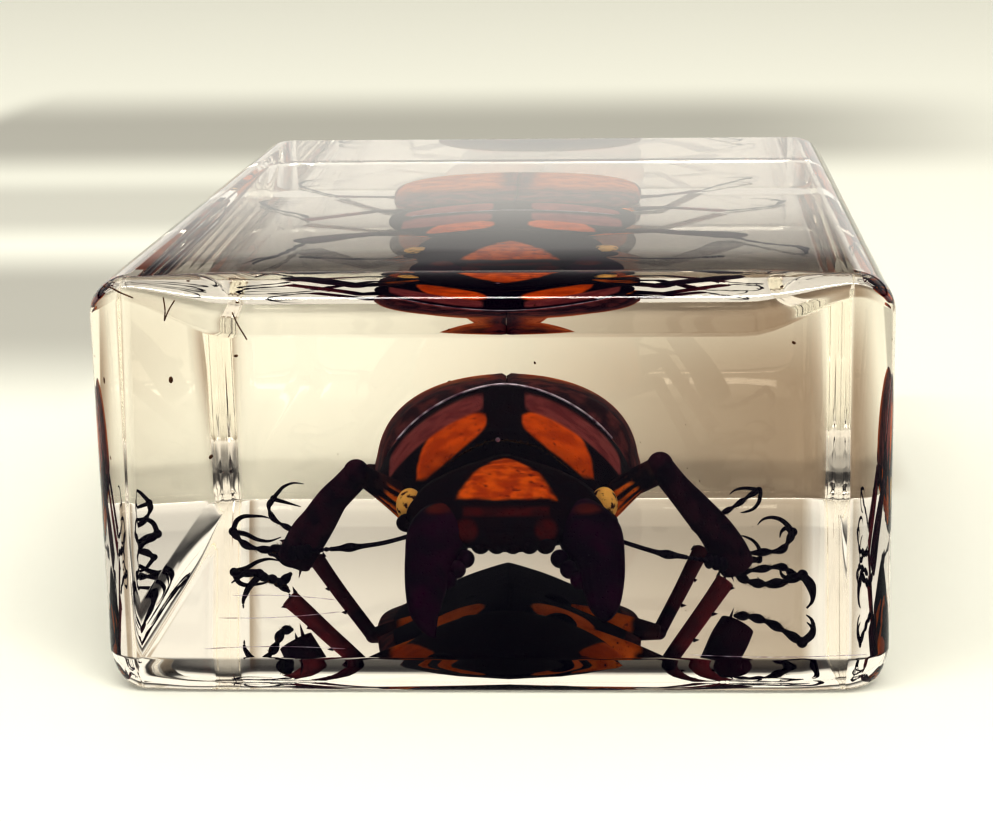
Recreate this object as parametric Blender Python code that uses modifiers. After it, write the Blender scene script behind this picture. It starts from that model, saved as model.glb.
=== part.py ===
"""A stag beetle sealed in a clear cast resin block that lies on its wide face.

The block's base is at z = 0 and the insect faces -Y, the block's front end.
Lengths are in millimetres while the shapes are made and joined, and each finished
solid is brought to metres at the end.
"""
import math

import bmesh
import bpy
from mathutils import Matrix, Vector

MM = 0.001

# The clear block: a stock casting, slightly narrower at its base.
BLOCK_WIDTH = 40.0
BLOCK_LENGTH = 73.0
BLOCK_HEIGHT = 21.0
BLOCK_DRAFT = 0.25
BLOCK_EDGE = 1.6
EDGE_STEPS = 2

# The halves part at this height, and each stands back from it by half the gap.
PARTING_HEIGHT = 5.4
PARTING_GAP = 0.3

RESIN_COLOUR = (0.95, 0.92, 0.84)

# Room between the insect and the wall of its pocket.
CLEARANCE = 0.4

# The pocket's own runs: half widths round the thin parts, and the resin left under it.
POCKET_AROUND = 14
POCKET_BODY = 0.75
POCKET_MANDIBLE = 0.6
POCKET_TEETH_PLACE = (0.75, -20.7, 4.6)
POCKET_TEETH = (5.0, 3.0, 3.3)
POCKET_FEELER = 0.65
POCKET_CLUB = (2.3, 1.9, 1.9)
POCKET_FEMUR = 1.55
POCKET_SHIN = 1.75
POCKET_KNEE = 1.7
POCKET_FOOT = (1.6, 2.3)
POCKET_FOOT_REACH = 1.8
POCKET_FLOOR = 0.45

# The insect's axis: turned slightly about the block's own, passing AXIS_X at AXIS_Y.
AXIS_TURN = math.radians(2.0)
AXIS_X = 0.05
AXIS_Y = -14.0

# Cross-sections from front to rear: y, half width, underside, height of the widest line, top.
HEAD = (
    (-20.7, 2.3, 4.9, 5.7, 6.4),
    (-19.6, 4.3, 4.0, 5.9, 7.4),
    (-17.6, 5.1, 3.7, 6.1, 8.4),
    (-15.0, 5.1, 3.5, 6.3, 9.3),
    (-12.0, 5.3, 3.4, 6.4, 9.7),
    (-9.0, 5.1, 3.3, 6.3, 9.7),
    (-6.2, 4.0, 3.8, 6.3, 8.9),
)
PRONOTUM = (
    (-7.3, 5.3, 3.5, 6.4, 9.5),
    (-5.8, 6.3, 3.0, 6.3, 10.1),
    (-3.0, 7.0, 2.6, 6.0, 10.8),
    (0.0, 7.25, 2.3, 5.8, 11.2),
    (2.8, 7.2, 2.1, 5.7, 11.2),
    (4.4, 6.6, 2.3, 5.8, 10.7),
    (5.2, 5.2, 3.0, 5.9, 9.7),
)
HIND_BODY = (
    (4.6, 5.0, 2.8, 5.6, 8.9),
    (6.0, 7.0, 2.0, 5.4, 10.0),
    (8.2, 7.8, 1.6, 5.1, 10.4),
    (12.0, 8.0, 1.3, 4.9, 10.6),
    (16.0, 8.05, 1.2, 4.8, 10.4),
    (19.5, 7.6, 1.3, 4.7, 9.6),
    (22.5, 6.0, 1.7, 4.6, 8.1),
    (24.6, 3.8, 2.3, 4.3, 6.3),
    (25.7, 1.6, 3.1, 4.1, 5.0),
)
BODY_AROUND = 20
TOP_FULLNESS = 2.5
UNDERSIDE_FULLNESS = 1.9

EYE_PLACE = (5.15, -13.6, 6.75)
EYE_SIZE = (0.75, 1.15, 0.95)

# Upper lip between the mandibles: a row of low lobes.
LIP_PLACE = (0.65, -20.6, 5.25)
LIP_SPACING = 1.05
LIP_LOBES = 4
LIP_RADIUS = 0.62

# Each mandible as x, y, z, radius from its base to its tip, and its blunt teeth as x, y, z.
MANDIBLES = {
    "left": (
        (-3.0, -16.9, 6.2, 1.3),
        (-3.35, -19.5, 5.6, 1.7),
        (-3.8, -21.3, 4.4, 1.3),
        (-3.95, -22.7, 3.1, 1.05),
        (-3.95, -23.8, 2.2, 0.8),
        (-3.7, -24.6, 1.5, 0.45),
        (-3.4, -25.1, 1.05, 0.1),
    ),
    "right": (
        (4.1, -16.9, 6.2, 1.3),
        (4.7, -19.5, 5.6, 1.7),
        (5.25, -21.3, 4.4, 1.3),
        (5.4, -22.6, 3.2, 1.05),
        (5.45, -23.5, 2.5, 0.8),
        (5.5, -24.2, 2.1, 0.45),
        (5.45, -24.6, 1.8, 0.1),
    ),
}
TEETH = {
    "left": ((-1.9, -20.9, 4.6), (-2.35, -21.4, 4.1), (-2.8, -21.9, 3.6)),
    "right": ((3.1, -20.9, 4.6), (3.6, -21.4, 4.1), (4.15, -21.9, 3.6)),
}
TOOTH_RADIUS = 0.5

# Antennae as x, y, z, radius: a long scape, a swollen joint and a thin feeler to the club.
ANTENNAE = {
    "left": (
        (-4.3, -15.6, 5.4, 0.24),
        (-6.6, -15.6, 4.8, 0.2),
        (-8.1, -15.4, 4.5, 0.25),
        (-8.7, -15.3, 4.4, 0.4),
        (-9.3, -15.1, 4.3, 0.24),
        (-10.6, -14.2, 4.1, 0.24),
        (-11.2, -13.6, 4.05, 0.3),
    ),
    "right": (
        (4.9, -15.6, 5.3, 0.24),
        (6.9, -15.6, 4.6, 0.2),
        (8.3, -15.4, 4.25, 0.25),
        (8.9, -15.3, 4.1, 0.4),
        (9.5, -15.1, 3.95, 0.24),
        (10.7, -14.2, 3.7, 0.24),
        (11.3, -13.6, 3.6, 0.3),
    ),
}
CLUB_LEAVES = 3
CLUB_SIZE = (0.32, 0.3, 0.85)
CLUB_STEP = 0.42

# Legs as x, y, z of hip, knee, ankle and the root of the claws.
LEGS = {
    "front_left": ((-3.9, -3.6, 5.2), (-8.8, -8.0, 8.0), (-12.1, -5.9, 1.9), (-13.9, -13.2, 2.1)),
    "front_right": ((3.9, -3.6, 5.3), (8.5, -7.2, 8.5), (13.3, -2.6, 1.7), (15.5, -9.0, 1.9)),
    "middle_left": ((-4.2, 7.6, 4.1), (-8.7, 8.0, 5.9), (-13.9, 6.6, 1.6), (-15.5, 4.0, 2.5)),
    "middle_right": ((3.4, 7.6, 4.1), (8.0, 8.2, 5.9), (13.2, 6.4, 1.6), (15.5, 4.4, 2.3)),
    "hind_left": ((-3.8, 12.0, 3.6), (-8.8, 9.8, 4.6), (-12.0, 19.6, 1.7), (-14.0, 20.2, 2.3)),
    "hind_right": ((2.8, 12.0, 3.6), (8.1, 9.8, 4.6), (10.7, 19.6, 1.7), (14.0, 20.4, 2.6)),
}
FEMUR_RADII = (0.9, 1.05, 0.95, 0.6)
TIBIA_RADII = (0.5, 0.5, 0.55, 0.72)
KNEE_RADIUS = 0.8
TOE_RADIUS = 0.4
TARSUS_JOINTS = 4
TARSUS_RADII = (0.17, 0.3)
TARSUS_ARCH = 0.5
CLAW_LENGTH = 1.9
CLAW_RADIUS = 0.16
CLAW_APART = 0.12
CLAW_SPREAD = math.radians(38.0)
CLAW_CURL = math.radians(105.0)
CLAW_POINTS = 4
SPINES = 4
SPINE_LENGTH = 0.95
SPINE_RADIUS = 0.17
SPINE_LEAN = 0.7
LAST_SPINE = 0.88
SPINE_RUN = 0.6

# Points closer than this after a join are one point.
SLIVER = 0.004

# Round parts are turned so that none of their points lies on a neighbour's.
BLOB_TURN = 0.7


def clear_scene():
    for item in list(bpy.data.objects):
        bpy.data.objects.remove(item, do_unlink=True)


def new_collection(name):
    collection = bpy.data.collections.new(name)
    bpy.context.scene.collection.children.link(collection)
    return collection


def new_object(name, mesh, collection):
    item = bpy.data.objects.new(name, mesh)
    collection.objects.link(item)
    return item


def material(name, colour, roughness, transmission=0.0):
    made = bpy.data.materials.new(name)
    made.use_nodes = True
    shader = made.node_tree.nodes["Principled BSDF"]
    shader.inputs["Base Color"].default_value = (*colour, 1.0)
    shader.inputs["Roughness"].default_value = roughness
    shader.inputs["Metallic"].default_value = 0.0
    shader.inputs["Transmission Weight"].default_value = transmission
    return made


def interpolate(rows, position):
    """The row at a fractional position along a list of rows, joined by a smooth curve."""
    index = min(int(position), len(rows) - 2)
    part = position - index
    before = rows[max(index - 1, 0)]
    start = rows[index]
    end = rows[index + 1]
    after = rows[min(index + 2, len(rows) - 1)]
    return [
        0.5 * (2 * b + (c - a) * part + (2 * a - 5 * b + 4 * c - d) * part**2
               + (3 * b - a - 3 * c + d) * part**3)
        for a, b, c, d in zip(before, start, end, after)
    ]


def along_axis(point):
    """A point of the straight body, turned onto the insect's own axis."""
    turned = Matrix.Rotation(AXIS_TURN, 3, "Z") @ Vector((point[0], point[1] - AXIS_Y, point[2]))
    return turned + Vector((AXIS_X, AXIS_Y, 0.0))


def fullness(value, power):
    return math.copysign(abs(value) ** (2.0 / power), value)


def body_part(name, sections, collection, rings, grow=0.0, around=BODY_AROUND):
    """A sphere whose rings are fitted to the sections, closed at both ends by its poles."""
    mesh = bpy.data.meshes.new(name)
    shape = bmesh.new()
    bmesh.ops.create_uvsphere(shape, u_segments=around, v_segments=rings, radius=1.0)
    for vertex in shape.verts:
        along = math.acos(max(-1.0, min(1.0, vertex.co.z))) / math.pi * rings
        inner = max(0.0, min(rings - 2.0, along - 1.0)) / (rings - 2.0)
        y, half_width, bottom, middle, top = interpolate(sections, inner * (len(sections) - 1))
        angle = math.atan2(vertex.co.y, vertex.co.x)
        at_pole = along < 0.5 or along > rings - 0.5
        size = 0.0 if at_pole else 1.0
        power = TOP_FULLNESS if angle > 0.0 else UNDERSIDE_FULLNESS
        height = (top - middle if angle > 0.0 else middle - bottom) + grow
        x = fullness(math.cos(angle), power) * (half_width + grow) * size
        z = middle + fullness(math.sin(angle), power) * height * size
        end = (-1.0 if along < rings / 2 else 1.0) * (grow + 0.12 if at_pole else grow)
        y += end if inner in (0.0, 1.0) else 0.0
        vertex.co = along_axis((x, y, z))
    bmesh.ops.recalc_face_normals(shape, faces=shape.faces)
    shape.to_mesh(mesh)
    shape.free()
    return new_object(name, mesh, collection)


def blob(name, centre, size, collection, around, rings):
    """An ellipsoid with the given half axes."""
    mesh = bpy.data.meshes.new(name)
    shape = bmesh.new()
    bmesh.ops.create_uvsphere(shape, u_segments=around, v_segments=rings, radius=1.0)
    stretch = Matrix.Diagonal((*size, 1.0)) @ Matrix.Rotation(BLOB_TURN, 4, Vector((1.0, 2.0, 3.0)))
    matrix = Matrix.Translation(Vector(centre)) @ stretch
    bmesh.ops.transform(shape, matrix=matrix, verts=shape.verts)
    shape.to_mesh(mesh)
    shape.free()
    return new_object(name, mesh, collection)


def tube(name, points, collection, resolution=2):
    """A round limb through points of x, y, z, radius, as a closed mesh."""
    curve = bpy.data.curves.new(name, "CURVE")
    curve.dimensions = "3D"
    curve.bevel_depth = 1.0
    curve.bevel_resolution = resolution
    curve.use_fill_caps = True
    spline = curve.splines.new("POLY")
    spline.points.add(len(points) - 1)
    for knot, (x, y, z, radius) in zip(spline.points, points):
        knot.co = (x, y, z, 1.0)
        knot.radius = radius
    drawn = new_object(name + "_path", curve, collection)
    bpy.context.view_layer.update()
    evaluated = drawn.evaluated_get(bpy.context.evaluated_depsgraph_get())
    mesh = bpy.data.meshes.new_from_object(evaluated)
    shape = bmesh.new()
    shape.from_mesh(mesh)
    bmesh.ops.remove_doubles(shape, verts=shape.verts, dist=1e-4)
    bmesh.ops.recalc_face_normals(shape, faces=shape.faces)
    shape.to_mesh(mesh)
    shape.free()
    item = new_object(name, mesh, collection)
    item.matrix_world = drawn.matrix_world
    bpy.data.objects.remove(drawn, do_unlink=True)
    return item


def combine(target, tool, operation):
    """One Boolean step, applied, with the tool used up."""
    step = target.modifiers.new("step", "BOOLEAN")
    step.operation = operation
    step.solver = "EXACT"
    step.object = tool
    bpy.context.view_layer.update()
    evaluated = target.evaluated_get(bpy.context.evaluated_depsgraph_get())
    mesh = bpy.data.meshes.new_from_object(evaluated)
    target.modifiers.clear()
    target.data = mesh
    bpy.data.objects.remove(tool, do_unlink=True)


def merge_close_points(item):
    shape = bmesh.new()
    shape.from_mesh(item.data)
    bmesh.ops.remove_doubles(shape, verts=shape.verts, dist=SLIVER)
    shape.to_mesh(item.data)
    shape.free()


def union(name, items):
    """One solid from overlapping items, which are used up."""
    base, *others = items
    for item in others:
        combine(base, item, "UNION")
        merge_close_points(base)
    base.name = name
    base.data.name = name
    return base


def to_metres(item):
    item.data.transform(Matrix.Scale(MM, 4))


def grown(points, extra):
    return [(x, y, z, radius + extra) for x, y, z, radius in points]


def limb_points(start, end, radii):
    """Points with radii, evenly spaced on a straight limb."""
    steps = len(radii) - 1
    return [(*Vector(start).lerp(Vector(end), i / steps), radius) for i, radius in enumerate(radii)]


def tarsus_points(ankle, root):
    """A foot of short joints, pinched where one meets the next."""
    thin, thick = TARSUS_RADII
    count = 2 * TARSUS_JOINTS
    points = []
    for i in range(count + 1):
        part = i / count
        place = Vector(ankle).lerp(Vector(root), part)
        place.z -= TARSUS_ARCH * math.sin(math.pi * part)
        points.append((*place, thin if i % 2 else thick))
    return points


def claw_points(ankle, root, side):
    """One hooked claw, spread to its side and curled down to a point."""
    heading = (Vector(root) - Vector(ankle)).normalized()
    heading = Matrix.Rotation(side * CLAW_SPREAD, 3, "Z") @ heading
    across = heading.cross(Vector((0.0, 0.0, 1.0))).normalized()
    step = CLAW_LENGTH / CLAW_POINTS
    place = Vector(root) - side * CLAW_APART * across
    points = []
    direction = Matrix.Rotation(0.5 * CLAW_CURL, 3, across) @ heading
    for i in range(CLAW_POINTS + 1):
        taper = 1.0 - 0.8 * i / CLAW_POINTS
        points.append((*place, CLAW_RADIUS * taper))
        place = place + step * direction
        direction = Matrix.Rotation(-CLAW_CURL / CLAW_POINTS, 3, across) @ direction
    return points


def spine(name, place, direction, collection):
    """A short thorn standing out of a shin."""
    mesh = bpy.data.meshes.new(name)
    shape = bmesh.new()
    bmesh.ops.create_cone(shape, cap_ends=True, segments=5, radius1=SPINE_RADIUS,
                          radius2=0.03, depth=SPINE_LENGTH)
    turn = direction.to_track_quat("Z", "Y").to_matrix().to_4x4()
    centre = Vector(place) + 0.5 * SPINE_LENGTH * direction
    bmesh.ops.transform(shape, matrix=Matrix.Translation(centre) @ turn, verts=shape.verts)
    shape.to_mesh(mesh)
    shape.free()
    return new_object(name, mesh, collection)


def shin_spines(name, knee, ankle, collection):
    """Thorns down the outer edge of a shin, closer together towards the ankle."""
    shin = (Vector(ankle) - Vector(knee)).normalized()
    reach = (Vector(ankle) - Vector(knee)).length
    outward = Vector((math.copysign(1.0, ankle[0]), -0.4, 0.5))
    outward = (outward - outward.dot(shin) * shin).normalized()
    thorns = []
    for i in range(SPINES):
        place = Vector(knee) + (LAST_SPINE - SPINE_RUN * i / (SPINES - 1)) * reach * shin
        side = outward if i else -outward
        lean = (side + SPINE_LEAN * shin).normalized()
        thorns.append(spine(f"{name}_spine_{i}", place + 0.2 * side, lean, collection))
    return thorns


def leg(name, hip, knee, ankle, root, collection):
    parts = [tube(name + "_tibia", limb_points(knee, ankle, TIBIA_RADII), collection)]
    parts += shin_spines(name, knee, ankle, collection)
    parts.append(tube(name + "_femur", limb_points(hip, knee, FEMUR_RADII), collection))
    parts.append(blob(name + "_knee", knee, (KNEE_RADIUS,) * 3, collection, 8, 5))
    parts.append(tube(name + "_tarsus", tarsus_points(ankle, root), collection, 1))
    parts.append(blob(name + "_toe", root, (TOE_RADIUS,) * 3, collection, 6, 5))
    for side in (-1, 1):
        parts.append(tube(f"{name}_claw_{side}", claw_points(ankle, root, side), collection, 0))
    return union(name, parts)


def mandible(name, points, teeth, collection):
    parts = [tube(name, points, collection, 3)]
    for i, place in enumerate(teeth):
        parts.append(blob(f"{name}_tooth_{i}", place, (TOOTH_RADIUS,) * 3, collection, 6, 5))
    return union(name, parts)


def antenna(name, points, collection):
    parts = [tube(name, points, collection, 1)]
    end = Vector(points[-1][:3])
    outward = (end - Vector(points[-3][:3])).normalized()
    for i in range(CLUB_LEAVES):
        centre = end + outward * CLUB_STEP * (i + 0.3)
        parts.append(blob(f"{name}_leaf_{i}", centre, CLUB_SIZE, collection, 6, 5))
    return union(name, parts)


def head_parts(collection):
    parts = [body_part("head", HEAD, collection, 12)]
    for side in (-1, 1):
        x, y, z = EYE_PLACE
        centre = along_axis((side * x, y, z))
        parts.append(blob(f"eye_{side}", centre, EYE_SIZE, collection, 10, 7))
    for i in range(LIP_LOBES):
        x = LIP_PLACE[0] + LIP_SPACING * (i - 0.5 * (LIP_LOBES - 1))
        place = (x, *LIP_PLACE[1:])
        parts.append(blob(f"lip_{i}", place, (LIP_RADIUS,) * 3, collection, 8, 5))
    return parts


def stag_beetle(collection, workshop):
    """The whole insect, fused into one solid."""
    parts = [body_part("hind_body", HIND_BODY, workshop, 14)]
    parts.append(body_part("pronotum", PRONOTUM, workshop, 12))
    parts += head_parts(workshop)
    for side, points in MANDIBLES.items():
        parts.append(mandible(f"mandible_{side}", points, TEETH[side], workshop))
    for side, points in ANTENNAE.items():
        parts.append(antenna(f"antenna_{side}", points, workshop))
    for name, joints in LEGS.items():
        parts.append(leg(name, *joints, workshop))
    insect = union("stag_beetle", parts)
    workshop.objects.unlink(insect)
    collection.objects.link(insect)
    insect.data.materials.clear()
    insect.data.materials.append(material("amber_and_black_shell", (0.16, 0.05, 0.02), 0.35))
    to_metres(insect)
    insect.data.set_sharp_from_angle(angle=math.radians(40.0))
    return insect


def leg_pocket(name, hip, knee, ankle, root, workshop):
    """Round runs that hold one leg with its spines, foot and claws."""
    near, far = POCKET_FOOT
    heading = (Vector(root) - Vector(ankle)).normalized()
    toe = Vector(root) + POCKET_FOOT_REACH * heading
    below = Vector(ankle) + POCKET_FOOT_REACH * (Vector(ankle) - Vector(knee)).normalized()
    return [
        tube(f"pocket_{name}_femur", limb_points(hip, knee, (POCKET_FEMUR,) * 2), workshop, 1),
        tube(f"pocket_{name}_shin", limb_points(knee, below, (POCKET_SHIN,) * 2), workshop, 1),
        blob(f"pocket_{name}_knee", knee, (POCKET_KNEE,) * 3, workshop, 6, 5),
        tube(f"pocket_{name}_foot", limb_points(ankle, toe, (near, far)), workshop, 1),
    ]


def slab(name, bottom, top, workshop):
    """A plain box wider than the block, between two heights."""
    mesh = bpy.data.meshes.new(name)
    shape = bmesh.new()
    bmesh.ops.create_cube(shape, size=1.0)
    for vertex in shape.verts:
        vertex.co.x *= 1.5 * BLOCK_WIDTH
        vertex.co.y *= 1.5 * BLOCK_LENGTH
        vertex.co.z = bottom + (vertex.co.z + 0.5) * (top - bottom)
    shape.to_mesh(mesh)
    shape.free()
    return new_object(name, mesh, workshop)


def cut_below(item, height, workshop):
    combine(item, slab("under", -BLOCK_HEIGHT, height, workshop), "DIFFERENCE")
    return item


def pocket(workshop):
    """The hollow the insect lies in: its own form, simpler and grown by the clearance."""
    parts = [
        body_part("pocket_hind_body", HIND_BODY, workshop, 8, POCKET_BODY, POCKET_AROUND),
        body_part("pocket_pronotum", PRONOTUM, workshop, 6, POCKET_BODY, POCKET_AROUND),
        body_part("pocket_head", HEAD, workshop, 6, POCKET_BODY, POCKET_AROUND),
    ]
    for side in (-1, 1):
        x, y, z = EYE_PLACE
        size = [radius + POCKET_BODY for radius in EYE_SIZE]
        parts.append(blob(f"pocket_eye_{side}", along_axis((side * x, y, z)), size, workshop, 6, 5))
    parts.append(blob("pocket_teeth", POCKET_TEETH_PLACE, POCKET_TEETH, workshop, 8, 6))
    for side, points in MANDIBLES.items():
        run = grown(points[:-1], POCKET_MANDIBLE)
        tip = Vector(points[-1][:3])
        beyond = tip + (tip - Vector(points[-2][:3])).normalized() * CLEARANCE
        run.append((*beyond, POCKET_MANDIBLE))
        parts.append(tube(f"pocket_mandible_{side}", run, workshop, 1))
    for side, points in ANTENNAE.items():
        ends = grown([points[0], points[3], points[-1]], POCKET_FEELER)
        parts.append(tube(f"pocket_antenna_{side}", ends, workshop, 1))
        parts.append(blob(f"pocket_club_{side}", points[-1][:3], POCKET_CLUB, workshop, 6, 5))
    for name, joints in LEGS.items():
        parts += leg_pocket(name, *joints, workshop)
    hollow = union("pocket", parts)
    return cut_below(hollow, POCKET_FLOOR, workshop)


def block(workshop):
    """The clear block, narrower at its base, with its edges rounded."""
    mesh = bpy.data.meshes.new("block")
    shape = bmesh.new()
    bmesh.ops.create_cube(shape, size=1.0)
    for vertex in shape.verts:
        draft = BLOCK_DRAFT if vertex.co.z < 0 else 0.0
        vertex.co.x *= BLOCK_WIDTH - 2 * draft
        vertex.co.y *= BLOCK_LENGTH
        vertex.co.z = (vertex.co.z + 0.5) * BLOCK_HEIGHT
    shape.to_mesh(mesh)
    shape.free()
    item = new_object("block", mesh, workshop)
    rounding = item.modifiers.new("rounding", "BEVEL")
    rounding.width = BLOCK_EDGE
    rounding.segments = EDGE_STEPS
    bpy.context.view_layer.update()
    evaluated = item.evaluated_get(bpy.context.evaluated_depsgraph_get())
    rounded = bpy.data.meshes.new_from_object(evaluated)
    item.modifiers.clear()
    item.data = rounded
    return item


def resin_half(name, bottom, top, collection, workshop):
    """The part of the block between two heights, less the pocket."""
    half = block(workshop)
    combine(half, pocket(workshop), "DIFFERENCE")
    combine(half, slab("between", bottom, top, workshop), "INTERSECT")
    merge_close_points(half)
    workshop.objects.unlink(half)
    collection.objects.link(half)
    half.name = name
    half.data.name = name
    half.data.materials.clear()
    half.data.materials.append(material(name + "_clear_resin", RESIN_COLOUR, 0.03, 1.0))
    to_metres(half)
    half.data.set_sharp_from_angle(angle=math.radians(30.0))
    return half


def main():
    clear_scene()
    collection = new_collection("stag_beetle_in_resin")
    workshop = new_collection("workshop")
    stag_beetle(collection, workshop)
    low, high = PARTING_HEIGHT - PARTING_GAP / 2, PARTING_HEIGHT + PARTING_GAP / 2
    resin_half("resin_lower", -BLOCK_HEIGHT, low, collection, workshop)
    resin_half("resin_upper", high, 2 * BLOCK_HEIGHT, collection, workshop)


main()
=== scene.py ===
import math

import bmesh
import bpy
import numpy as np
from mathutils import Matrix, Vector, noise


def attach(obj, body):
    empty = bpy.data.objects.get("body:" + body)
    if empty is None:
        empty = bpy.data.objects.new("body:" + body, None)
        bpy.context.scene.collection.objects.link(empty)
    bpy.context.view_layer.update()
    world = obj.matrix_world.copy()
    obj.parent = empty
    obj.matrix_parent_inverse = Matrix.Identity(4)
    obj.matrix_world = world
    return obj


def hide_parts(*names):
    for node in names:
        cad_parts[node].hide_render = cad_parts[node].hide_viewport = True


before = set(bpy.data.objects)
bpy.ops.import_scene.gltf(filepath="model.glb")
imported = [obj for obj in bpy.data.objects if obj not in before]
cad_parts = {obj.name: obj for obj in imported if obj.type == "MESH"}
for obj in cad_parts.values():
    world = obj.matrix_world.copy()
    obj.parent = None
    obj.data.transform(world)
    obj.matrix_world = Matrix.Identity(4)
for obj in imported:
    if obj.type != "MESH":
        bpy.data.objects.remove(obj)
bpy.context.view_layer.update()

mm = 0.001        # shapes are worked in millimetres and brought to metres when a piece is finished
unmarked = -5.0        # the mark of a point far outside every patch of colour
thinnest = 0.004        # no limb tapers below this radius, so that its tip stays round
scene = bpy.context.scene
nodeInsect = "stag_beetle"
nodesResin = ("resin_lower", "resin_upper")


# small helpers for meshes

def meshObject(name, verts, faces):
    mesh = bpy.data.meshes.new(name)
    mesh.from_pydata([tuple(v) for v in verts], [], faces)
    mesh.update()
    item = bpy.data.objects.new(name, mesh)
    scene.collection.objects.link(item)
    return item


def ringFaces(rows, around):
    # quads between rings that close on themselves
    faces = []
    for row in range(rows - 1):
        a = row * around
        for k in range(around):
            n = (k + 1) % around
            faces.append((a + k, a + n, a + around + n, a + around + k))
    return faces


def closedSkin(rings):
    # rings of points, closed at both ends by a fan to the ring's middle
    around = len(rings[0])
    verts = [Vector(p) for ring in rings for p in ring]
    faces = ringFaces(len(rings), around)
    for end, ring in ((0, rings[0]), (1, rings[-1])):
        middle = sum((Vector(p) for p in ring), Vector()) / around
        verts.append(middle)
        tip = len(verts) - 1
        base = 0 if end == 0 else (len(rings) - 1) * around
        for k in range(around):
            n = (k + 1) % around
            faces.append((base + n, base + k, tip) if end == 0 else (base + k, base + n, tip))
    return verts, faces


def shellObject(name, verts, faces, material, marks=None):
    # a closed shell with its material, and its amber mark where it has one
    item = meshObject(name, verts, faces)
    storeMark(item, [marks(v) for v in verts] if marks else [unmarked] * len(verts))
    turnOutwards(item.data)
    item.data.materials.append(material)
    return item


def turnOutwards(mesh):
    shape = bmesh.new()
    shape.from_mesh(mesh)
    bmesh.ops.recalc_face_normals(shape, faces=shape.faces)
    shape.to_mesh(mesh)
    shape.free()


def joined(name, items):
    # several closed shells in one mesh, with their materials kept
    materials = []
    verts, faces, slots = [], [], []
    marks = {"amber": [], "blush": []}
    for item in items:
        mesh = item.data
        offset = len(verts)
        verts += [v.co.copy() for v in mesh.vertices]
        names = list(mesh.materials)
        for m in names:
            if m not in materials:
                materials.append(m)
        for face in mesh.polygons:
            faces.append(tuple(offset + i for i in face.vertices))
            slots.append(materials.index(names[face.material_index]) if names else 0)
        for kind, kept in marks.items():
            mark = mesh.attributes.get(kind)
            values = np.full(len(mesh.vertices), unmarked)
            if mark is not None:
                mark.data.foreach_get("value", values)
            kept += list(values)
        bpy.data.objects.remove(item, do_unlink=True)
    made = meshObject(name, verts, faces)
    for m in materials:
        made.data.materials.append(m)
    made.data.polygons.foreach_set("material_index", slots)
    for kind, kept in marks.items():
        storeMark(made, kept, kind)
    return made


def storeMark(item, values, name="amber"):
    # distance in millimetres inside a patch of colour, negative outside it
    mark = item.data.attributes.get(name) or item.data.attributes.new(name, "FLOAT", "POINT")
    mark.data.foreach_set("value", np.array(values, dtype=np.float32))


def finishPiece(item, nodes):
    item.data.transform(Matrix.Scale(mm, 4))
    item.data.polygons.foreach_set("use_smooth", [True] * len(item.data.polygons))
    item.data.update()
    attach(item, "root")
    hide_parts(*nodes)
    return item


def smoothRow(rows, position):
    # a row between two rows of a list, on a smooth curve through them
    index = min(int(position), len(rows) - 2)
    t = position - index
    before, start = rows[max(index - 1, 0)], rows[index]
    end, after = rows[index + 1], rows[min(index + 2, len(rows) - 1)]
    return [
        0.5 * (2 * b + (c - a) * t + (2 * a - 5 * b + 4 * c - d) * t**2 + (3 * b - a - 3 * c + d) * t**3)
        for a, b, c, d in zip(before, start, end, after)
    ]


def hump(value, middle, width):
    # 1 at the middle, falling smoothly to nothing about two widths away
    return math.exp(-((value - middle) / width) ** 2)


def ramp(value, low, high):
    t = min(1.0, max(0.0, (value - low) / (high - low)))
    return t * t * (3 - 2 * t)


def softMin(softness, *values):
    # the least of the values, with its corners rounded
    low = min(values)
    return low - softness * math.log(sum(math.exp((low - value) / softness) for value in values))


# small helpers for node trees, of materials and of geometry

def treeNode(tree, kind, settings=None, values=None, feeds=None):
    # one node, with its settings, fixed values and what feeds it, by input name or number
    node = tree.nodes.new(kind)
    for key, value in (settings or {}).items():
        setattr(node, key, value)
    for key, value in (values or {}).items():
        node.inputs[key].default_value = value
    for key, source in (feeds or {}).items():
        tree.links.new(source, node.inputs[key])
    return node


def mathNode(tree, operation, *values):
    # each value is a number, or the socket that feeds it
    node = treeNode(tree, "ShaderNodeMath", {"operation": operation})
    for socket, value in zip(node.inputs, values):
        if isinstance(value, (int, float)):
            socket.default_value = value
        else:
            tree.links.new(value, socket)
    return node.outputs["Value"]


def newMaterial(name):
    made = bpy.data.materials.new(name)
    made.use_nodes = True
    return made, made.node_tree, made.node_tree.nodes["Principled BSDF"]


def objectSpace(tree):
    # a pattern's coordinates in millimetres
    place = treeNode(tree, "ShaderNodeTexCoord")
    mapping = treeNode(tree, "ShaderNodeMapping", None, {"Scale": (1 / mm,) * 3},
                       {"Vector": place.outputs["Object"]})
    return mapping.outputs["Vector"]


def noiseNode(tree, space, scale, detail=3.0):
    node = treeNode(tree, "ShaderNodeTexNoise", None, {"Scale": scale, "Detail": detail}, {"Vector": space})
    return node.outputs["Fac"]


def mapped(tree, value, low, high, newLow=0.0, newHigh=1.0, kind="SMOOTHSTEP"):
    ends = {"From Min": low, "From Max": high, "To Min": newLow, "To Max": newHigh}
    node = treeNode(tree, "ShaderNodeMapRange", {"interpolation_type": kind}, ends, {"Value": value})
    return node.outputs["Result"]


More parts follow.
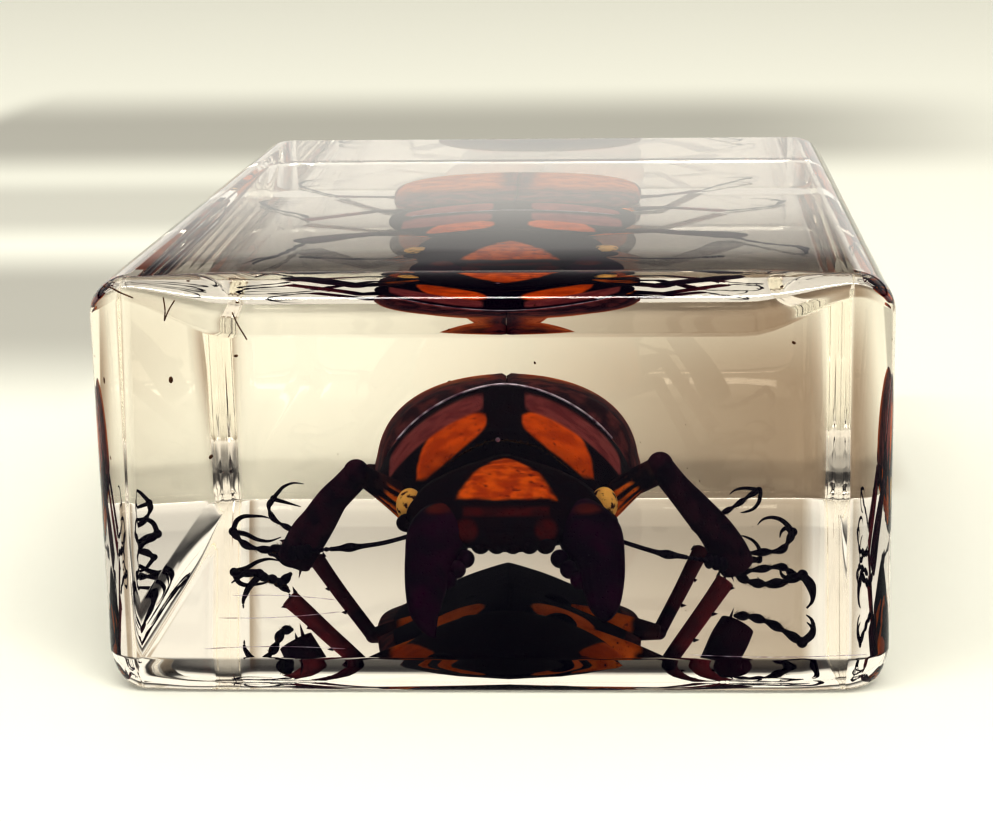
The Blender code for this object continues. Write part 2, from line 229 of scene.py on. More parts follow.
def mixNode(tree, factor, first, second):
    # a colour between two, each a colour or the socket that feeds it
    node = treeNode(tree, "ShaderNodeMix", {"data_type": "RGBA"}, None, {"Factor": factor})
    sockets = [s for s in node.inputs if s.type == "RGBA"]
    for socket, value in zip(sockets, (first, second)):
        if isinstance(value, tuple):
            socket.default_value = (*value, 1.0)
        else:
            tree.links.new(value, socket)
    return [s for s in node.outputs if s.type == "RGBA"][0]


def bumpNode(tree, shader, height, distance):
    node = treeNode(tree, "ShaderNodeBump", None, {"Distance": distance}, {"Height": height})
    tree.links.new(node.outputs["Normal"], shader.inputs["Normal"])


shellIor = 1.02        # against the resin, not against air: it hardly reflects
# what every shell has unless its own look says otherwise; scales are per millimetre, relief in metres
shellBasics = {
    "wobble": 0.3, "wobbleScale": 1.2, "soften": 0.1, "blushEdge": (-0.08, 0.10),
    "cloudScale": 0.8, "cloudDetail": 4.0, "cloudEdge": (0.38, 0.66),
    "fleckScale": 3.5, "fleckDetail": 5.0, "fleckEdge": (0.60, 0.72), "roughnessSpread": 0.12,
    "pitScale": 4.0, "pitEdge": (0.0, 0.35), "grain": 0.5, "grainScale": 9.0, "grainDetail": 4.0,
    "relief": 0.00003,
}


def shellMaterial(name, look):
    # hard insect shell: dark, with amber where the piece's own mark is above zero
    look = {**shellBasics, **look}
    made, tree, shader = newMaterial(name)
    space = objectSpace(tree)
    mark = treeNode(tree, "ShaderNodeAttribute", {"attribute_name": "amber"})
    wobble = noiseNode(tree, space, look["wobbleScale"])
    wobble = mathNode(tree, "MULTIPLY_ADD", wobble, look["wobble"], -0.5 * look["wobble"])
    edge = mathNode(tree, "ADD", mark.outputs["Fac"], wobble)
    patch = mapped(tree, edge, -look["soften"], look["soften"])
    cloud = noiseNode(tree, space, look["cloudScale"], look["cloudDetail"])
    cloud = mapped(tree, cloud, *look["cloudEdge"])
    fleck = noiseNode(tree, space, look["fleckScale"], look["fleckDetail"])
    fleck = mapped(tree, fleck, *look["fleckEdge"])
    dark = mixNode(tree, cloud, look["dark"], look["darkWarm"])
    amber = mixNode(tree, cloud, look["amber"], look["amberDeep"])
    amber = mixNode(tree, fleck, amber, look["amberFleck"])
    colour = mixNode(tree, patch, dark, amber)
    if "blush" in look:
        second = treeNode(tree, "ShaderNodeAttribute", {"attribute_name": "blush"})
        tint = mixNode(tree, cloud, look["blush"], look["blushDeep"])
        band = mapped(tree, second.outputs["Fac"], *look["blushEdge"])
        colour = mixNode(tree, band, colour, tint)
    tree.links.new(colour, shader.inputs["Base Color"])
    smooth, rough = look["roughness"], look["roughness"] + look["roughnessSpread"]
    rough = mapped(tree, cloud, 0.0, 1.0, smooth, rough, "LINEAR")
    tree.links.new(rough, shader.inputs["Roughness"])
    shader.inputs["IOR"].default_value = shellIor
    pits = treeNode(tree, "ShaderNodeTexVoronoi", None, {"Scale": look["pitScale"]}, {"Vector": space})
    pit = mapped(tree, pits.outputs["Distance"], *look["pitEdge"])
    grain = noiseNode(tree, space, look["grainScale"], look["grainDetail"])
    bumpNode(tree, shader, mathNode(tree, "MULTIPLY_ADD", grain, look["grain"], pit), look["relief"])
    return made


# Geometry Nodes trees

lateBell = 1.4          # above 1, a joint is widest past its middle
thornSunk = 0.08        # a thorn's foot lies this share of its length under the surface


def newTree(name, inputs):
    tree = bpy.data.node_groups.new(name, "GeometryNodeTree")
    tree.interface.new_socket("Geometry", in_out="INPUT", socket_type="NodeSocketGeometry")
    tree.interface.new_socket("Geometry", in_out="OUTPUT", socket_type="NodeSocketGeometry")
    for label, kind, value in inputs:
        socket = tree.interface.new_socket(label, in_out="INPUT", socket_type=kind)
        if value is not None:
            socket.default_value = value
    return tree, tree.nodes.new("NodeGroupInput"), tree.nodes.new("NodeGroupOutput")


def closedTree(tree, source, result, geometry):
    # every tree ends in real geometry with its material set
    whole = treeNode(tree, "GeometryNodeRealizeInstances", None, None, {"Geometry": geometry})
    done = treeNode(tree, "GeometryNodeSetMaterial", None, None,
                    {"Geometry": whole.outputs["Geometry"], "Material": source.outputs["Material"]})
    tree.links.new(done.outputs["Geometry"], result.inputs[0])
    return tree


def grownByNodes(item, tree, values, name):
    # the tree's result as a plain mesh, with the object and its modifier used up
    step = item.modifiers.new("growth", "NODES")
    step.node_group = tree
    sockets = {s.name: s.identifier for s in tree.interface.items_tree if s.in_out == "INPUT"}
    for label, value in values.items():
        step[sockets[label]] = value
    bpy.context.view_layer.update()
    evaluated = item.evaluated_get(bpy.context.evaluated_depsgraph_get())
    mesh = bpy.data.meshes.new_from_object(evaluated)
    mesh.name = name
    item.modifiers.clear()
    bpy.data.objects.remove(item, do_unlink=True)
    made = bpy.data.objects.new(name, mesh)
    scene.collection.objects.link(made)
    return made


def pathCurve(name, points):
    # an open run through points of x, y, z, radius
    curve = bpy.data.curves.new(name, "CURVE")
    curve.dimensions = "3D"
    run = curve.splines.new("POLY")
    run.points.add(len(points) - 1)
    for knot, (x, y, z, radius) in zip(run.points, points):
        knot.co = (x, y, z, 1.0)
        knot.radius = radius
    item = bpy.data.objects.new(name, curve)
    scene.collection.objects.link(item)
    return item


def ringedLimbTree():
    # a limb of bell-shaped joints along a run: widest near each joint's far end, pinched between
    tree, source, result = newTree("ringedLimb", (
        ("Joints", "NodeSocketInt", 4), ("Rings Per Joint", "NodeSocketInt", 7),
        ("Pinch", "NodeSocketFloat", 0.5), ("Sides", "NodeSocketInt", 12),
        ("Material", "NodeSocketMaterial", None),
    ))
    given = source.outputs
    count = mathNode(tree, "ADD", mathNode(tree, "MULTIPLY", given["Joints"], given["Rings Per Joint"]), 1.0)
    run = treeNode(tree, "GeometryNodeResampleCurve", None, None,
                   {"Curve": given["Geometry"], "Count": count})
    along = treeNode(tree, "GeometryNodeSplineParameter")
    part = mathNode(tree, "FRACT", mathNode(tree, "MULTIPLY", along.outputs["Factor"], given["Joints"]))
    turn = mathNode(tree, "MULTIPLY", mathNode(tree, "POWER", part, lateBell), math.pi)
    less = mathNode(tree, "SUBTRACT", mathNode(tree, "SINE", turn), 1.0)
    width = mathNode(tree, "ADD", mathNode(tree, "MULTIPLY", less, given["Pinch"]), 1.0)
    width = mathNode(tree, "MULTIPLY", width, treeNode(tree, "GeometryNodeInputRadius").outputs[0])
    sized = treeNode(tree, "GeometryNodeSetCurveRadius", None, None,
                     {"Curve": run.outputs["Curve"], "Radius": width})
    profile = treeNode(tree, "GeometryNodeCurvePrimitiveCircle", None, {"Radius": 1.0},
                       {"Resolution": given["Sides"]})
    skin = treeNode(tree, "GeometryNodeCurveToMesh", None, {"Fill Caps": True},
                    {"Curve": sized.outputs["Curve"], "Profile Curve": profile.outputs["Curve"]})
    if "Scale" in skin.inputs:
        tree.links.new(width, skin.inputs["Scale"])
    return closedTree(tree, source, result, skin.outputs["Mesh"])


def thornRowTree():
    # cones standing along a run, leaning one way, each a little different
    tree, source, result = newTree("thornRow", (
        ("Count", "NodeSocketInt", 8), ("Length", "NodeSocketFloat", 0.8),
        ("Thickness", "NodeSocketFloat", 0.12), ("Sides", "NodeSocketInt", 6),
        ("Lean", "NodeSocketVector", (0.0, 0.0, 1.0)), ("Scatter", "NodeSocketFloat", 0.1),
        ("Shortest", "NodeSocketFloat", 0.7), ("Seed", "NodeSocketInt", 1),
        ("Material", "NodeSocketMaterial", None),
    ))
    given = source.outputs
    run = treeNode(tree, "GeometryNodeCurveToPoints", None, None,
                   {"Curve": given["Geometry"], "Count": given["Count"]})
    cone = treeNode(tree, "GeometryNodeMeshCone", None,
                    {"Radius Top": 0.0, "Depth": 1.0, "Radius Bottom": 1.0},
                    {"Vertices": given["Sides"]})
    lifted = treeNode(tree, "GeometryNodeTransform", None, {"Translation": (0.0, 0.0, -thornSunk)},
                      {"Geometry": cone.outputs["Mesh"]})
    spread = treeNode(tree, "FunctionNodeRandomValue", {"data_type": "FLOAT_VECTOR"},
                      {0: (-1.0, -1.0, -1.0), 1: (1.0, 1.0, 1.0)}, {"Seed": given["Seed"]})
    spread = treeNode(tree, "ShaderNodeVectorMath", {"operation": "SCALE"}, None,
                      {0: spread.outputs[0], "Scale": given["Scatter"]})
    lean = treeNode(tree, "ShaderNodeVectorMath", {"operation": "ADD"}, None,
                    {0: given["Lean"], 1: spread.outputs[0]})
    turn = treeNode(tree, "FunctionNodeAlignRotationToVector", {"axis": "Z"}, None,
                    {"Vector": lean.outputs[0]})
    size = treeNode(tree, "FunctionNodeRandomValue", {"data_type": "FLOAT"}, {3: 1.0},
                    {2: given["Shortest"], "Seed": given["Seed"]})
    long = mathNode(tree, "MULTIPLY", size.outputs[1], given["Length"])
    scale = treeNode(tree, "ShaderNodeCombineXYZ", None, None,
                     {"X": given["Thickness"], "Y": given["Thickness"], "Z": long})
    stood = treeNode(tree, "GeometryNodeInstanceOnPoints", None, None, {
        "Points": run.outputs["Points"], "Instance": lifted.outputs["Geometry"],
        "Rotation": turn.outputs["Rotation"], "Scale": scale.outputs[0]})
    return closedTree(tree, source, result, stood.outputs["Instances"])


def scatterTree():
    # small round bodies at random places between two corners
    tree, source, result = newTree("scatterInBox", (
        ("Count", "NodeSocketInt", 10), ("Low Corner", "NodeSocketVector", (0.0, 0.0, 0.0)),
        ("High Corner", "NodeSocketVector", (1.0, 1.0, 1.0)), ("Smallest", "NodeSocketFloat", 0.02),
        ("Largest", "NodeSocketFloat", 0.08), ("Stretch", "NodeSocketVector", (1.0, 1.0, 1.0)),
        ("Detail", "NodeSocketInt", 2), ("Seed", "NodeSocketInt", 1),
        ("Material", "NodeSocketMaterial", None),
    ))
    given = source.outputs
    place = treeNode(tree, "FunctionNodeRandomValue", {"data_type": "FLOAT_VECTOR"}, None,
                     {0: given["Low Corner"], 1: given["High Corner"], "Seed": given["Seed"]})
    points = treeNode(tree, "GeometryNodePoints", None, None,
                      {"Count": given["Count"], "Position": place.outputs[0]})
    ball = treeNode(tree, "GeometryNodeMeshIcoSphere", None, {"Radius": 1.0},
                    {"Subdivisions": given["Detail"]})
    size = treeNode(tree, "FunctionNodeRandomValue", {"data_type": "FLOAT"}, None,
                    {2: given["Smallest"], 3: given["Largest"], "Seed": given["Seed"]})
    shape = treeNode(tree, "ShaderNodeVectorMath", {"operation": "SCALE"}, None,
                     {0: given["Stretch"], "Scale": size.outputs[1]})
    stood = treeNode(tree, "GeometryNodeInstanceOnPoints", None, None, {
        "Points": points.outputs["Points"], "Instance": ball.outputs["Mesh"], "Scale": shape.outputs[0]})
    return closedTree(tree, source, result, stood.outputs["Instances"])


limbTree = ringedLimbTree()
thornTree = thornRowTree()
bitsTree = scatterTree()


# shells' finishes

deepBlack = (0.010, 0.006, 0.009)
shellLooks = {
    "pronotum": {
        "dark": deepBlack, "darkWarm": (0.016, 0.006, 0.009), "amber": (0.68, 0.14, 0.006),
        "amberDeep": (0.50, 0.088, 0.005), "amberFleck": (0.30, 0.045, 0.004), "roughness": 0.38,
        "blush": (0.30, 0.085, 0.075), "blushDeep": (0.21, 0.050, 0.050), "wobble": 0.16, "soften": 0.10,
    },
    "head": {
        "dark": (0.008, 0.004, 0.007), "darkWarm": (0.014, 0.004, 0.006), "amber": (0.68, 0.155, 0.006),
        "amberDeep": (0.44, 0.075, 0.004), "amberFleck": (0.22, 0.030, 0.004), "roughness": 0.40,
        "blush": (0.085, 0.009, 0.007), "blushDeep": (0.045, 0.006, 0.006),
        "cloudScale": 1.1, "fleckScale": 1.7, "wobble": 0.3, "soften": 0.14,
    },
    "elytra": {
        "dark": (0.050, 0.022, 0.026), "darkWarm": (0.19, 0.060, 0.055), "amber": (0.55, 0.17, 0.045),
        "amberDeep": (0.36, 0.085, 0.026), "amberFleck": (0.16, 0.036, 0.018), "roughness": 0.36,
        "wobble": 0.8, "soften": 0.5, "pitScale": 3.0,
    },
    # the underside's amber is its own colour, made brighter than the back's: that extra brightness is
    # painted light, for the light that comes through the thin shell
    "underside": {
        "dark": (0.006, 0.006, 0.014), "darkWarm": (0.012, 0.009, 0.018), "amber": (0.95, 0.26, 0.040),
        "amberDeep": (0.80, 0.20, 0.030), "amberFleck": (0.40, 0.080, 0.020), "roughness": 0.42,
    },
    "femur": {
        "dark": (0.014, 0.008, 0.012), "darkWarm": (0.06, 0.022, 0.020), "amber": (0.85, 0.24, 0.020),
        "amberDeep": (0.60, 0.12, 0.012), "amberFleck": (0.12, 0.024, 0.012), "roughness": 0.40,
        "soften": 0.12, "wobble": 0.35,
    },
    "tibia": {
        "dark": (0.014, 0.006, 0.014), "darkWarm": (0.050, 0.012, 0.024), "amber": (0.18, 0.032, 0.036),
        "amberDeep": (0.10, 0.022, 0.028), "amberFleck": (0.05, 0.012, 0.020), "roughness": 0.42,
        "soften": 0.3,
    },
    "mandible": {
        "dark": (0.009, 0.002, 0.010), "darkWarm": (0.032, 0.003, 0.020), "amber": (0.13, 0.022, 0.012),
        "amberDeep": (0.08, 0.012, 0.012), "amberFleck": (0.08, 0.01, 0.007), "roughness": 0.34,
        "soften": 0.3, "cloudScale": 0.5,
    },
    "foot": {
        "dark": (0.008, 0.005, 0.012), "darkWarm": (0.013, 0.006, 0.014), "amber": (0.22, 0.05, 0.04),
        "amberDeep": (0.12, 0.03, 0.03), "amberFleck": (0.05, 0.015, 0.015), "roughness": 0.45,
    },
}
shells = {name: shellMaterial(name + "Shell", look) for name, look in shellLooks.items()}


eyeSet = {
    "tan": (0.72, 0.44, 0.14), "speck": (0.07, 0.02, 0.012), "speckScale": 2.2, "speckDetail": 4.0,
    "speckEdge": (0.54, 0.64), "roughness": 0.35, "facetScale": 14.0, "relief": 0.00002,
}
hairSet = {"dark": (0.05, 0.018, 0.008), "light": (0.22, 0.11, 0.035), "scale": 6.0, "roughness": 0.5}
filmSet = {
    "dull": (0.22, 0.12, 0.18), "bright": (0.75, 0.68, 0.80), "scale": 1.3, "detail": 4.0,
    "edge": (0.35, 0.65), "roughness": 0.3, "metallic": 0.3,
}


def eyeMaterial(look):
    # pale tan with dark specks and fine facets
    made, tree, shader = newMaterial("eyeFacets")
    space = objectSpace(tree)
    speck = noiseNode(tree, space, look["speckScale"], look["speckDetail"])
    speck = mapped(tree, speck, *look["speckEdge"])
    tree.links.new(mixNode(tree, speck, look["tan"], look["speck"]), shader.inputs["Base Color"])
    shader.inputs["Roughness"].default_value = look["roughness"]
    shader.inputs["IOR"].default_value = shellIor
    cells = treeNode(tree, "ShaderNodeTexVoronoi", None, {"Scale": look["facetScale"]}, {"Vector": space})
    bumpNode(tree, shader, cells.outputs["Distance"], look["relief"])
    return made


def hairMaterial(look):
    made, tree, shader = newMaterial("goldenHair")
    shade = noiseNode(tree, objectSpace(tree), look["scale"])
    tree.links.new(mixNode(tree, shade, look["dark"], look["light"]), shader.inputs["Base Color"])
    shader.inputs["Roughness"].default_value = look["roughness"]
    shader.inputs["IOR"].default_value = shellIor
    return made


def filmMaterial(look):
    # the silvery film of air that shows along a joint of the body
    made, tree, shader = newMaterial("silveryFilm")
    patch = noiseNode(tree, objectSpace(tree), look["scale"], look["detail"])
    patch = mapped(tree, patch, *look["edge"])
    tree.links.new(mixNode(tree, patch, look["dull"], look["bright"]), shader.inputs["Base Color"])
    shader.inputs["Roughness"].default_value = look["roughness"]
    shader.inputs["Metallic"].default_value = look["metallic"]
    return made


eyeLook = eyeMaterial(eyeSet)
hairLook = hairMaterial(hairSet)
filmLook = filmMaterial(filmSet)
print("materials made")


# camera, lights and floor

cameraSet = {
    "place": (8.27, -187.71, 42.08),      # millimetres
    "yaw": math.radians(-2.99),
    "down": math.radians(10.37),
    "roll": math.radians(-0.69),
    "lens": 113.77,
    "sensor": 36.0,
    "near": 0.001,
}


def makeCamera(look):
    camera = bpy.data.cameras.new("camera")
    item = bpy.data.objects.new("camera", camera)
    scene.collection.objects.link(item)
    yaw, down, roll = look["yaw"], look["down"], look["roll"]
    ahead = Vector((math.sin(yaw) * math.cos(down), math.cos(yaw) * math.cos(down), -math.sin(down)))
    right = Vector((math.cos(yaw), -math.sin(yaw), 0.0))
    up = right.cross(ahead)
    across = right * math.cos(roll) + up * math.sin(roll)
    upward = -right * math.sin(roll) + up * math.cos(roll)
    matrix = Matrix((across, upward, -ahead)).transposed().to_4x4()
    matrix.translation = Vector(look["place"]) * mm
    item.matrix_world = matrix
    camera.lens = look["lens"]
    camera.sensor_width = look["sensor"]
    camera.clip_start = look["near"]
    scene.camera = item


floorSet = {
    "half": 3.0, "gap": 0.0001,        # in metres: how far it runs, and how far under the block it lies
    "colour": (0.84, 0.84, 0.78), "warmShadow": (0.24, 0.14, 0.06), "greyShadow": (0.14, 0.125, 0.11),
    "roughness": 0.9, "specular": 0.1,
    # painted soft shadows on the floor, in millimetres: warm ones under the block and behind its right side,
    # grey ones further back and to the left:
    # from x, to x, from y, to y, softness on each side across and along, depth, warm or grey
    "paintedShadows": (
        (20.0, 20.5, 20.0, 75.0, (38.0, 5.0), (10.0, 85.0), 0.72, True),
        (-19.0, 19.0, -24.0, 36.0, (1.0, 1.0), (10.0, 0.4), 0.5, True),
        (-90.0, 15.0, 250.0, 280.0, (10.0, 60.0), (50.0, 80.0), 0.43, False),
        (-60.0, -38.0, 82.0, 112.0, (30.0, 6.0), (45.0, 30.0), 0.42, False),
        (-90.0, -46.0, 165.0, 185.0, (30.0, 12.0), (25.0, 30.0), 0.26, False),
    ),
}


def makeFloor(look):
    half, low = look["half"], -look["gap"]
    corners = [(-half, -half, low), (half, -half, low), (half, half, low), (-half, half, low)]
    floor = meshObject("floor", corners, [(0, 1, 2, 3)])
    made, tree, shader = newMaterial("palePaperWithPaintedShadows")
    parts = treeNode(tree, "ShaderNodeSeparateXYZ", None, None, {0: objectSpace(tree)}).outputs
    tones = {True: None, False: None}
    # each painted shadow darkens the floor's colour towards the warm or the grey shadow colour
    for x0, x1, y0, y1, across, along, depth, warm in look["paintedShadows"]:
        shade = mapped(tree, parts["X"], x0 - across[0], x0, 0.0, depth)
        for axis, inner, outer in (("X", x1, x1 + across[1]), ("Y", y1, y1 + along[1])):
            shade = mathNode(tree, "MULTIPLY", shade, mapped(tree, parts[axis], inner, outer, 1.0, 0.0))
        shade = mathNode(tree, "MULTIPLY", shade, mapped(tree, parts["Y"], y0 - along[0], y0))
        light = mathNode(tree, "SUBTRACT", 1.0, shade)
        before = tones[warm]
        tones[warm] = mathNode(tree, "MULTIPLY", before, light) if before else light
    colour = mixNode(tree, tones[True], look["warmShadow"], look["colour"])
    tree.links.new(mixNode(tree, tones[False], look["greyShadow"], colour), shader.inputs["Base Color"])
    shader.inputs["Roughness"].default_value = look["roughness"]
    shader.inputs["Specular IOR Level"].default_value = look["specular"]
    floor.data.materials.append(made)


worldSet = {
    # sine of the height above the horizon, brightness
    "heights": (
        (0.0, 1.15), (0.113, 1.15), (0.127, 0.78), (0.135, 0.15), (0.15, 0.12), (0.18, 0.40),
        (0.216, 0.80), (0.24, 1.0), (0.30, 1.1), (0.5, 0.88), (1.0, 0.86),
    ),
    "warmth": (1.0, 0.98, 0.925),
    "strength": 1.0,
    # behind the block the room darkens from left to right, both given as sines of the bearing
    "side": {
        "left": -0.14, "right": 0.06, "darkest": (0.60, 0.535, 0.46),
        # axis, from, to, share at each end
        "limits": (("Z", 0.25, 0.45, 1.0, 0.0), ("Z", 0.13, 0.16, 0.0, 1.0),
                   ("Y", 0.3, 0.8, 0.0, 1.0), ("X", 0.09, 0.13, 1.0, 0.0)),
    },
}


def makeWorld(look):
    world = bpy.data.worlds.new("softRoom")
    scene.world = world
    world.use_nodes = True
    tree = world.node_tree
    place = treeNode(tree, "ShaderNodeTexCoord")
    parts = treeNode(tree, "ShaderNodeSeparateXYZ", None, None, {0: place.outputs["Generated"]}).outputs
    bands = treeNode(tree, "ShaderNodeValToRGB", None, None, {"Fac": parts["Z"]})
    bands.color_ramp.interpolation = "EASE"
    stops = bands.color_ramp.elements
    for i, (height, value) in enumerate(look["heights"]):
        stop = stops[i] if i in (0, len(look["heights"]) - 1) else stops.new(height)
        stop.color = (*[value * c for c in look["warmth"]], 1.0)
    side = look["side"]
    across = mapped(tree, parts["X"], side["left"], side["right"], 0.0, 1.0, "LINEAR")
    for axis, first, last, start, end in side["limits"]:
        across = mathNode(tree, "MULTIPLY", across, mapped(tree, parts[axis], first, last, start, end))
    tint = mixNode(tree, across, (1.0, 1.0, 1.0), side["darkest"])
    tinted = treeNode(tree, "ShaderNodeVectorMath", {"operation": "MULTIPLY"}, None,
                      {0: bands.outputs["Color"], 1: tint})
    background = tree.nodes["Background"]
    tree.links.new(tinted.outputs["Vector"], background.inputs["Color"])
    background.inputs["Strength"].default_value = look["strength"]


lampSet = (
    # name, place in metres, size, power, colour, seen in reflections
    ("stripSoftbox", (-0.05, -0.42, 0.70), (0.9, 0.06), 3.0, (1.0, 0.99, 0.96), True),
    ("keySoftbox", (0.25, -0.85, 0.65), (0.60, 0.60), 4.2, (1.0, 0.99, 0.96), False),
)


def makeLamps(lamps):
    for name, place, size, power, colour, reflected in lamps:
        lamp = bpy.data.lights.new(name, "AREA")
        lamp.shape = "RECTANGLE"
        lamp.size, lamp.size_y = size
        lamp.energy = power
        lamp.color = colour
        item = bpy.data.objects.new(name, lamp)
        scene.collection.objects.link(item)
        item.location = place
        item.rotation_euler = (-Vector(place)).to_track_quat("-Z", "Y").to_euler()
        item.visible_glossy = reflected


viewSet = {
    "gamma": 0.65, "black": (0.040, 0.040, 0.028),      # the contrast of the photograph
    "bounces": 24, "throughBounces": 20, "glossBounces": 12,      # light turns many times inside the block
}


def setView(look):
    view = scene.view_settings
    view.view_transform = "Standard"
    view.gamma = look["gamma"]
    view.use_curve_mapping = True
    view.curve_mapping.black_level = look["black"]
    view.curve_mapping.update()
    scene.cycles.max_bounces = look["bounces"]
    scene.cycles.transmission_bounces = look["throughBounces"]
    scene.cycles.glossy_bounces = look["glossBounces"]


makeCamera(cameraSet)
makeFloor(floorSet)
makeWorld(worldSet)
makeLamps(lampSet)
setView(viewSet)
print("camera, lights and floor made")


# the clear block

blockSet = {
    "width": 40.0, "length": 73.0, "height": 21.0,
    "corner": 2.4,            # radius of the upright edges, in plan
    "margin": 0.02,          # keeps the piece just inside its own box
    "draftLeft": 0.6, "draftRight": 0.2, "draftTop": 19.0,      # the sides lean in towards the base
    # the front's upper edge: a ground facet, then a round; the facet runs out towards the corners
    "ledge": 18.05, "ledgeRise": 2.0, "ledgeFrom": 12.5, "ledgeTo": 18.6,
    "facet": math.radians(10.0), "facetHeight": 0.9, "facetSteps": 4,
    "topRound": 2.1, "sill": 0.08,          # the other upper edges, and the short upright under them
    # the lower edge: height, how far it draws in; then how much more at the front corners, and less behind
    "foot": ((1.85, 0.0), (1.55, 0.05), (1.2, 0.115), (0.8, 0.215), (0.5, 0.33), (0.25, 0.47),
             (0.1, 0.60), (0.03, 0.70), (0.0, 0.80)),
    "footCorner": 1.1, "cornerShare": 0.3, "cornerMore": 0.2, "cornerRun": 2.6, "rearShare": -0.8,
    # the mesh: heights of its rings, and places round it; a hair is how close the last lies to an edge
    "levels": (5.0, 9.0, 13.0, 16.5), "columns": 48, "sideColumns": 20, "hair": 0.05,
    "cornerSteps": 14, "roundSteps": 18, "footSteps": 20,
    # rings on the top and the base, as shares of the way in, and how far the top waves
    "topRings": (0.004, 0.2, 0.4, 0.6, 0.8), "baseRings": (0.004, 0.5), "wave": 0.006, "waveLength": 7.0,
}


def blockColumns(reach, steps, hair):
    # places along one straight side, with one close to each corner so that its face stays flat
    inner = reach - hair
    return [-reach, -inner] + [inner * (2 * i / steps - 1) for i in range(1, steps)] + [inner, reach]


def blockPlan(look):
    # round the block counter-clockwise: middle of curvature, direction outwards, how much front and corner
    corner = look["corner"]
    reachX = look["width"] / 2 - look["margin"] - corner
    reachY = look["length"] / 2 - look["margin"] - corner
    xs = blockColumns(reachX, look["columns"], look["hair"])
    ys = blockColumns(reachY, look["sideColumns"], look["hair"])
    steps = look["cornerSteps"]
    share, run, rear = look["cornerShare"], look["cornerRun"], look["rearShare"]

    def beside(y):
        # how much corner there is along a long side
        return share * ramp(-y, reachY - run, reachY) + rear * ramp(y, 0.0, reachY)

    plan = [((x, -reachY), (0.0, -1.0), 1.0, share * ramp(abs(x), reachX - run, reachX)) for x in xs]
    # each corner's middle and first bearing, and the straight side that follows it
    sides = (
        (reachX, -reachY, -90.0, [((reachX, y), (1.0, 0.0), 0.0, beside(y)) for y in ys]),
        (reachX, reachY, 0.0, [((x, reachY), (0.0, 1.0), 0.0, rear) for x in reversed(xs)]),
        (-reachX, reachY, 90.0, [((-reachX, y), (-1.0, 0.0), 0.0, beside(y)) for y in reversed(ys)]),
        (-reachX, -reachY, 180.0, []),
    )
    for cx, cy, start, side in sides:
        for i in range(1, steps):
            part = i / steps
            angle = math.radians(start + 90.0 * part)
            front, cornered = 0.0, rear
            if cy < 0:
                front = ramp(1 - part if start < 0 else part, 0.0, 1.0)
                cornered = share + look["cornerMore"] * math.sin(math.pi * part)
            plan.append(((cx, cy), (math.cos(angle), math.sin(angle)), front, cornered))
        plan += side
    return plan


def ledgeStart(look, x):
    return look["ledge"] + look["ledgeRise"] * ramp(abs(x), look["ledgeFrom"], look["ledgeTo"])


def upperEdges(look, high):
    # the two profiles from upright to flat, each as how far in and how far up, with equal steps
    tilt, rise, few = look["facet"], look["facetHeight"], look["facetSteps"]
    radius = (high - look["ledge"] - rise) / (1 - math.sin(tilt))
    first = rise * math.tan(tilt)
    front = [(first * k / few, rise * k / few) for k in range(few + 1)]
    side = [(0.0, look["sill"] * k / few) for k in range(few + 1)]
    for i in range(1, look["roundSteps"] + 1):
        part = i / look["roundSteps"]
        angle = tilt + (math.pi / 2 - tilt) * part
        front.append((first + radius * (math.cos(tilt) - math.cos(angle)),
                      rise + radius * (math.sin(angle) - math.sin(tilt))))
        angle = math.pi / 2 * part
        side.append((look["topRound"] * (1 - math.cos(angle)),
                     look["sill"] + look["topRound"] * math.sin(angle)))
    return front, side


def blockRing(look, plan, height=None, foot=0.0, step=0, edges=None):
    # one ring of the block: at a height, at a step of the upper edges, or with neither just under them
    high = look["height"] - look["margin"]
    ring = []
    for (cx, cy), (nx, ny), front, cornered in plan:
        start = high - look["topRound"] - look["sill"]
        start += (ledgeStart(look, cx + nx * look["corner"]) - start) * front
        if edges is None:
            inset = foot * (1 + look["footCorner"] * cornered)
            z = start - look["hair"] if height is None else height
        else:
            (frontIn, frontUp), (sideIn, sideUp) = edges[0][step], edges[1][step]
            frontAll, sideAll = edges[0][-1][1], edges[1][-1][1]
            grown = (high - start) / frontAll
            inset = front * frontIn * grown + (1 - front) * sideIn
            part = front * frontUp / frontAll + (1 - front) * sideUp / sideAll
            z = start + (high - start) * part
        lean = look["draftLeft"] if nx < 0 else look["draftRight"]
        lean *= max(0.0, 1 - z / look["draftTop"]) * abs(nx) * (abs(cx) / (look["width"] / 2))
        reach = look["corner"] - inset
        ring.append(Vector((cx + nx * reach - math.copysign(lean, nx), cy + ny * reach, z)))
    return ring


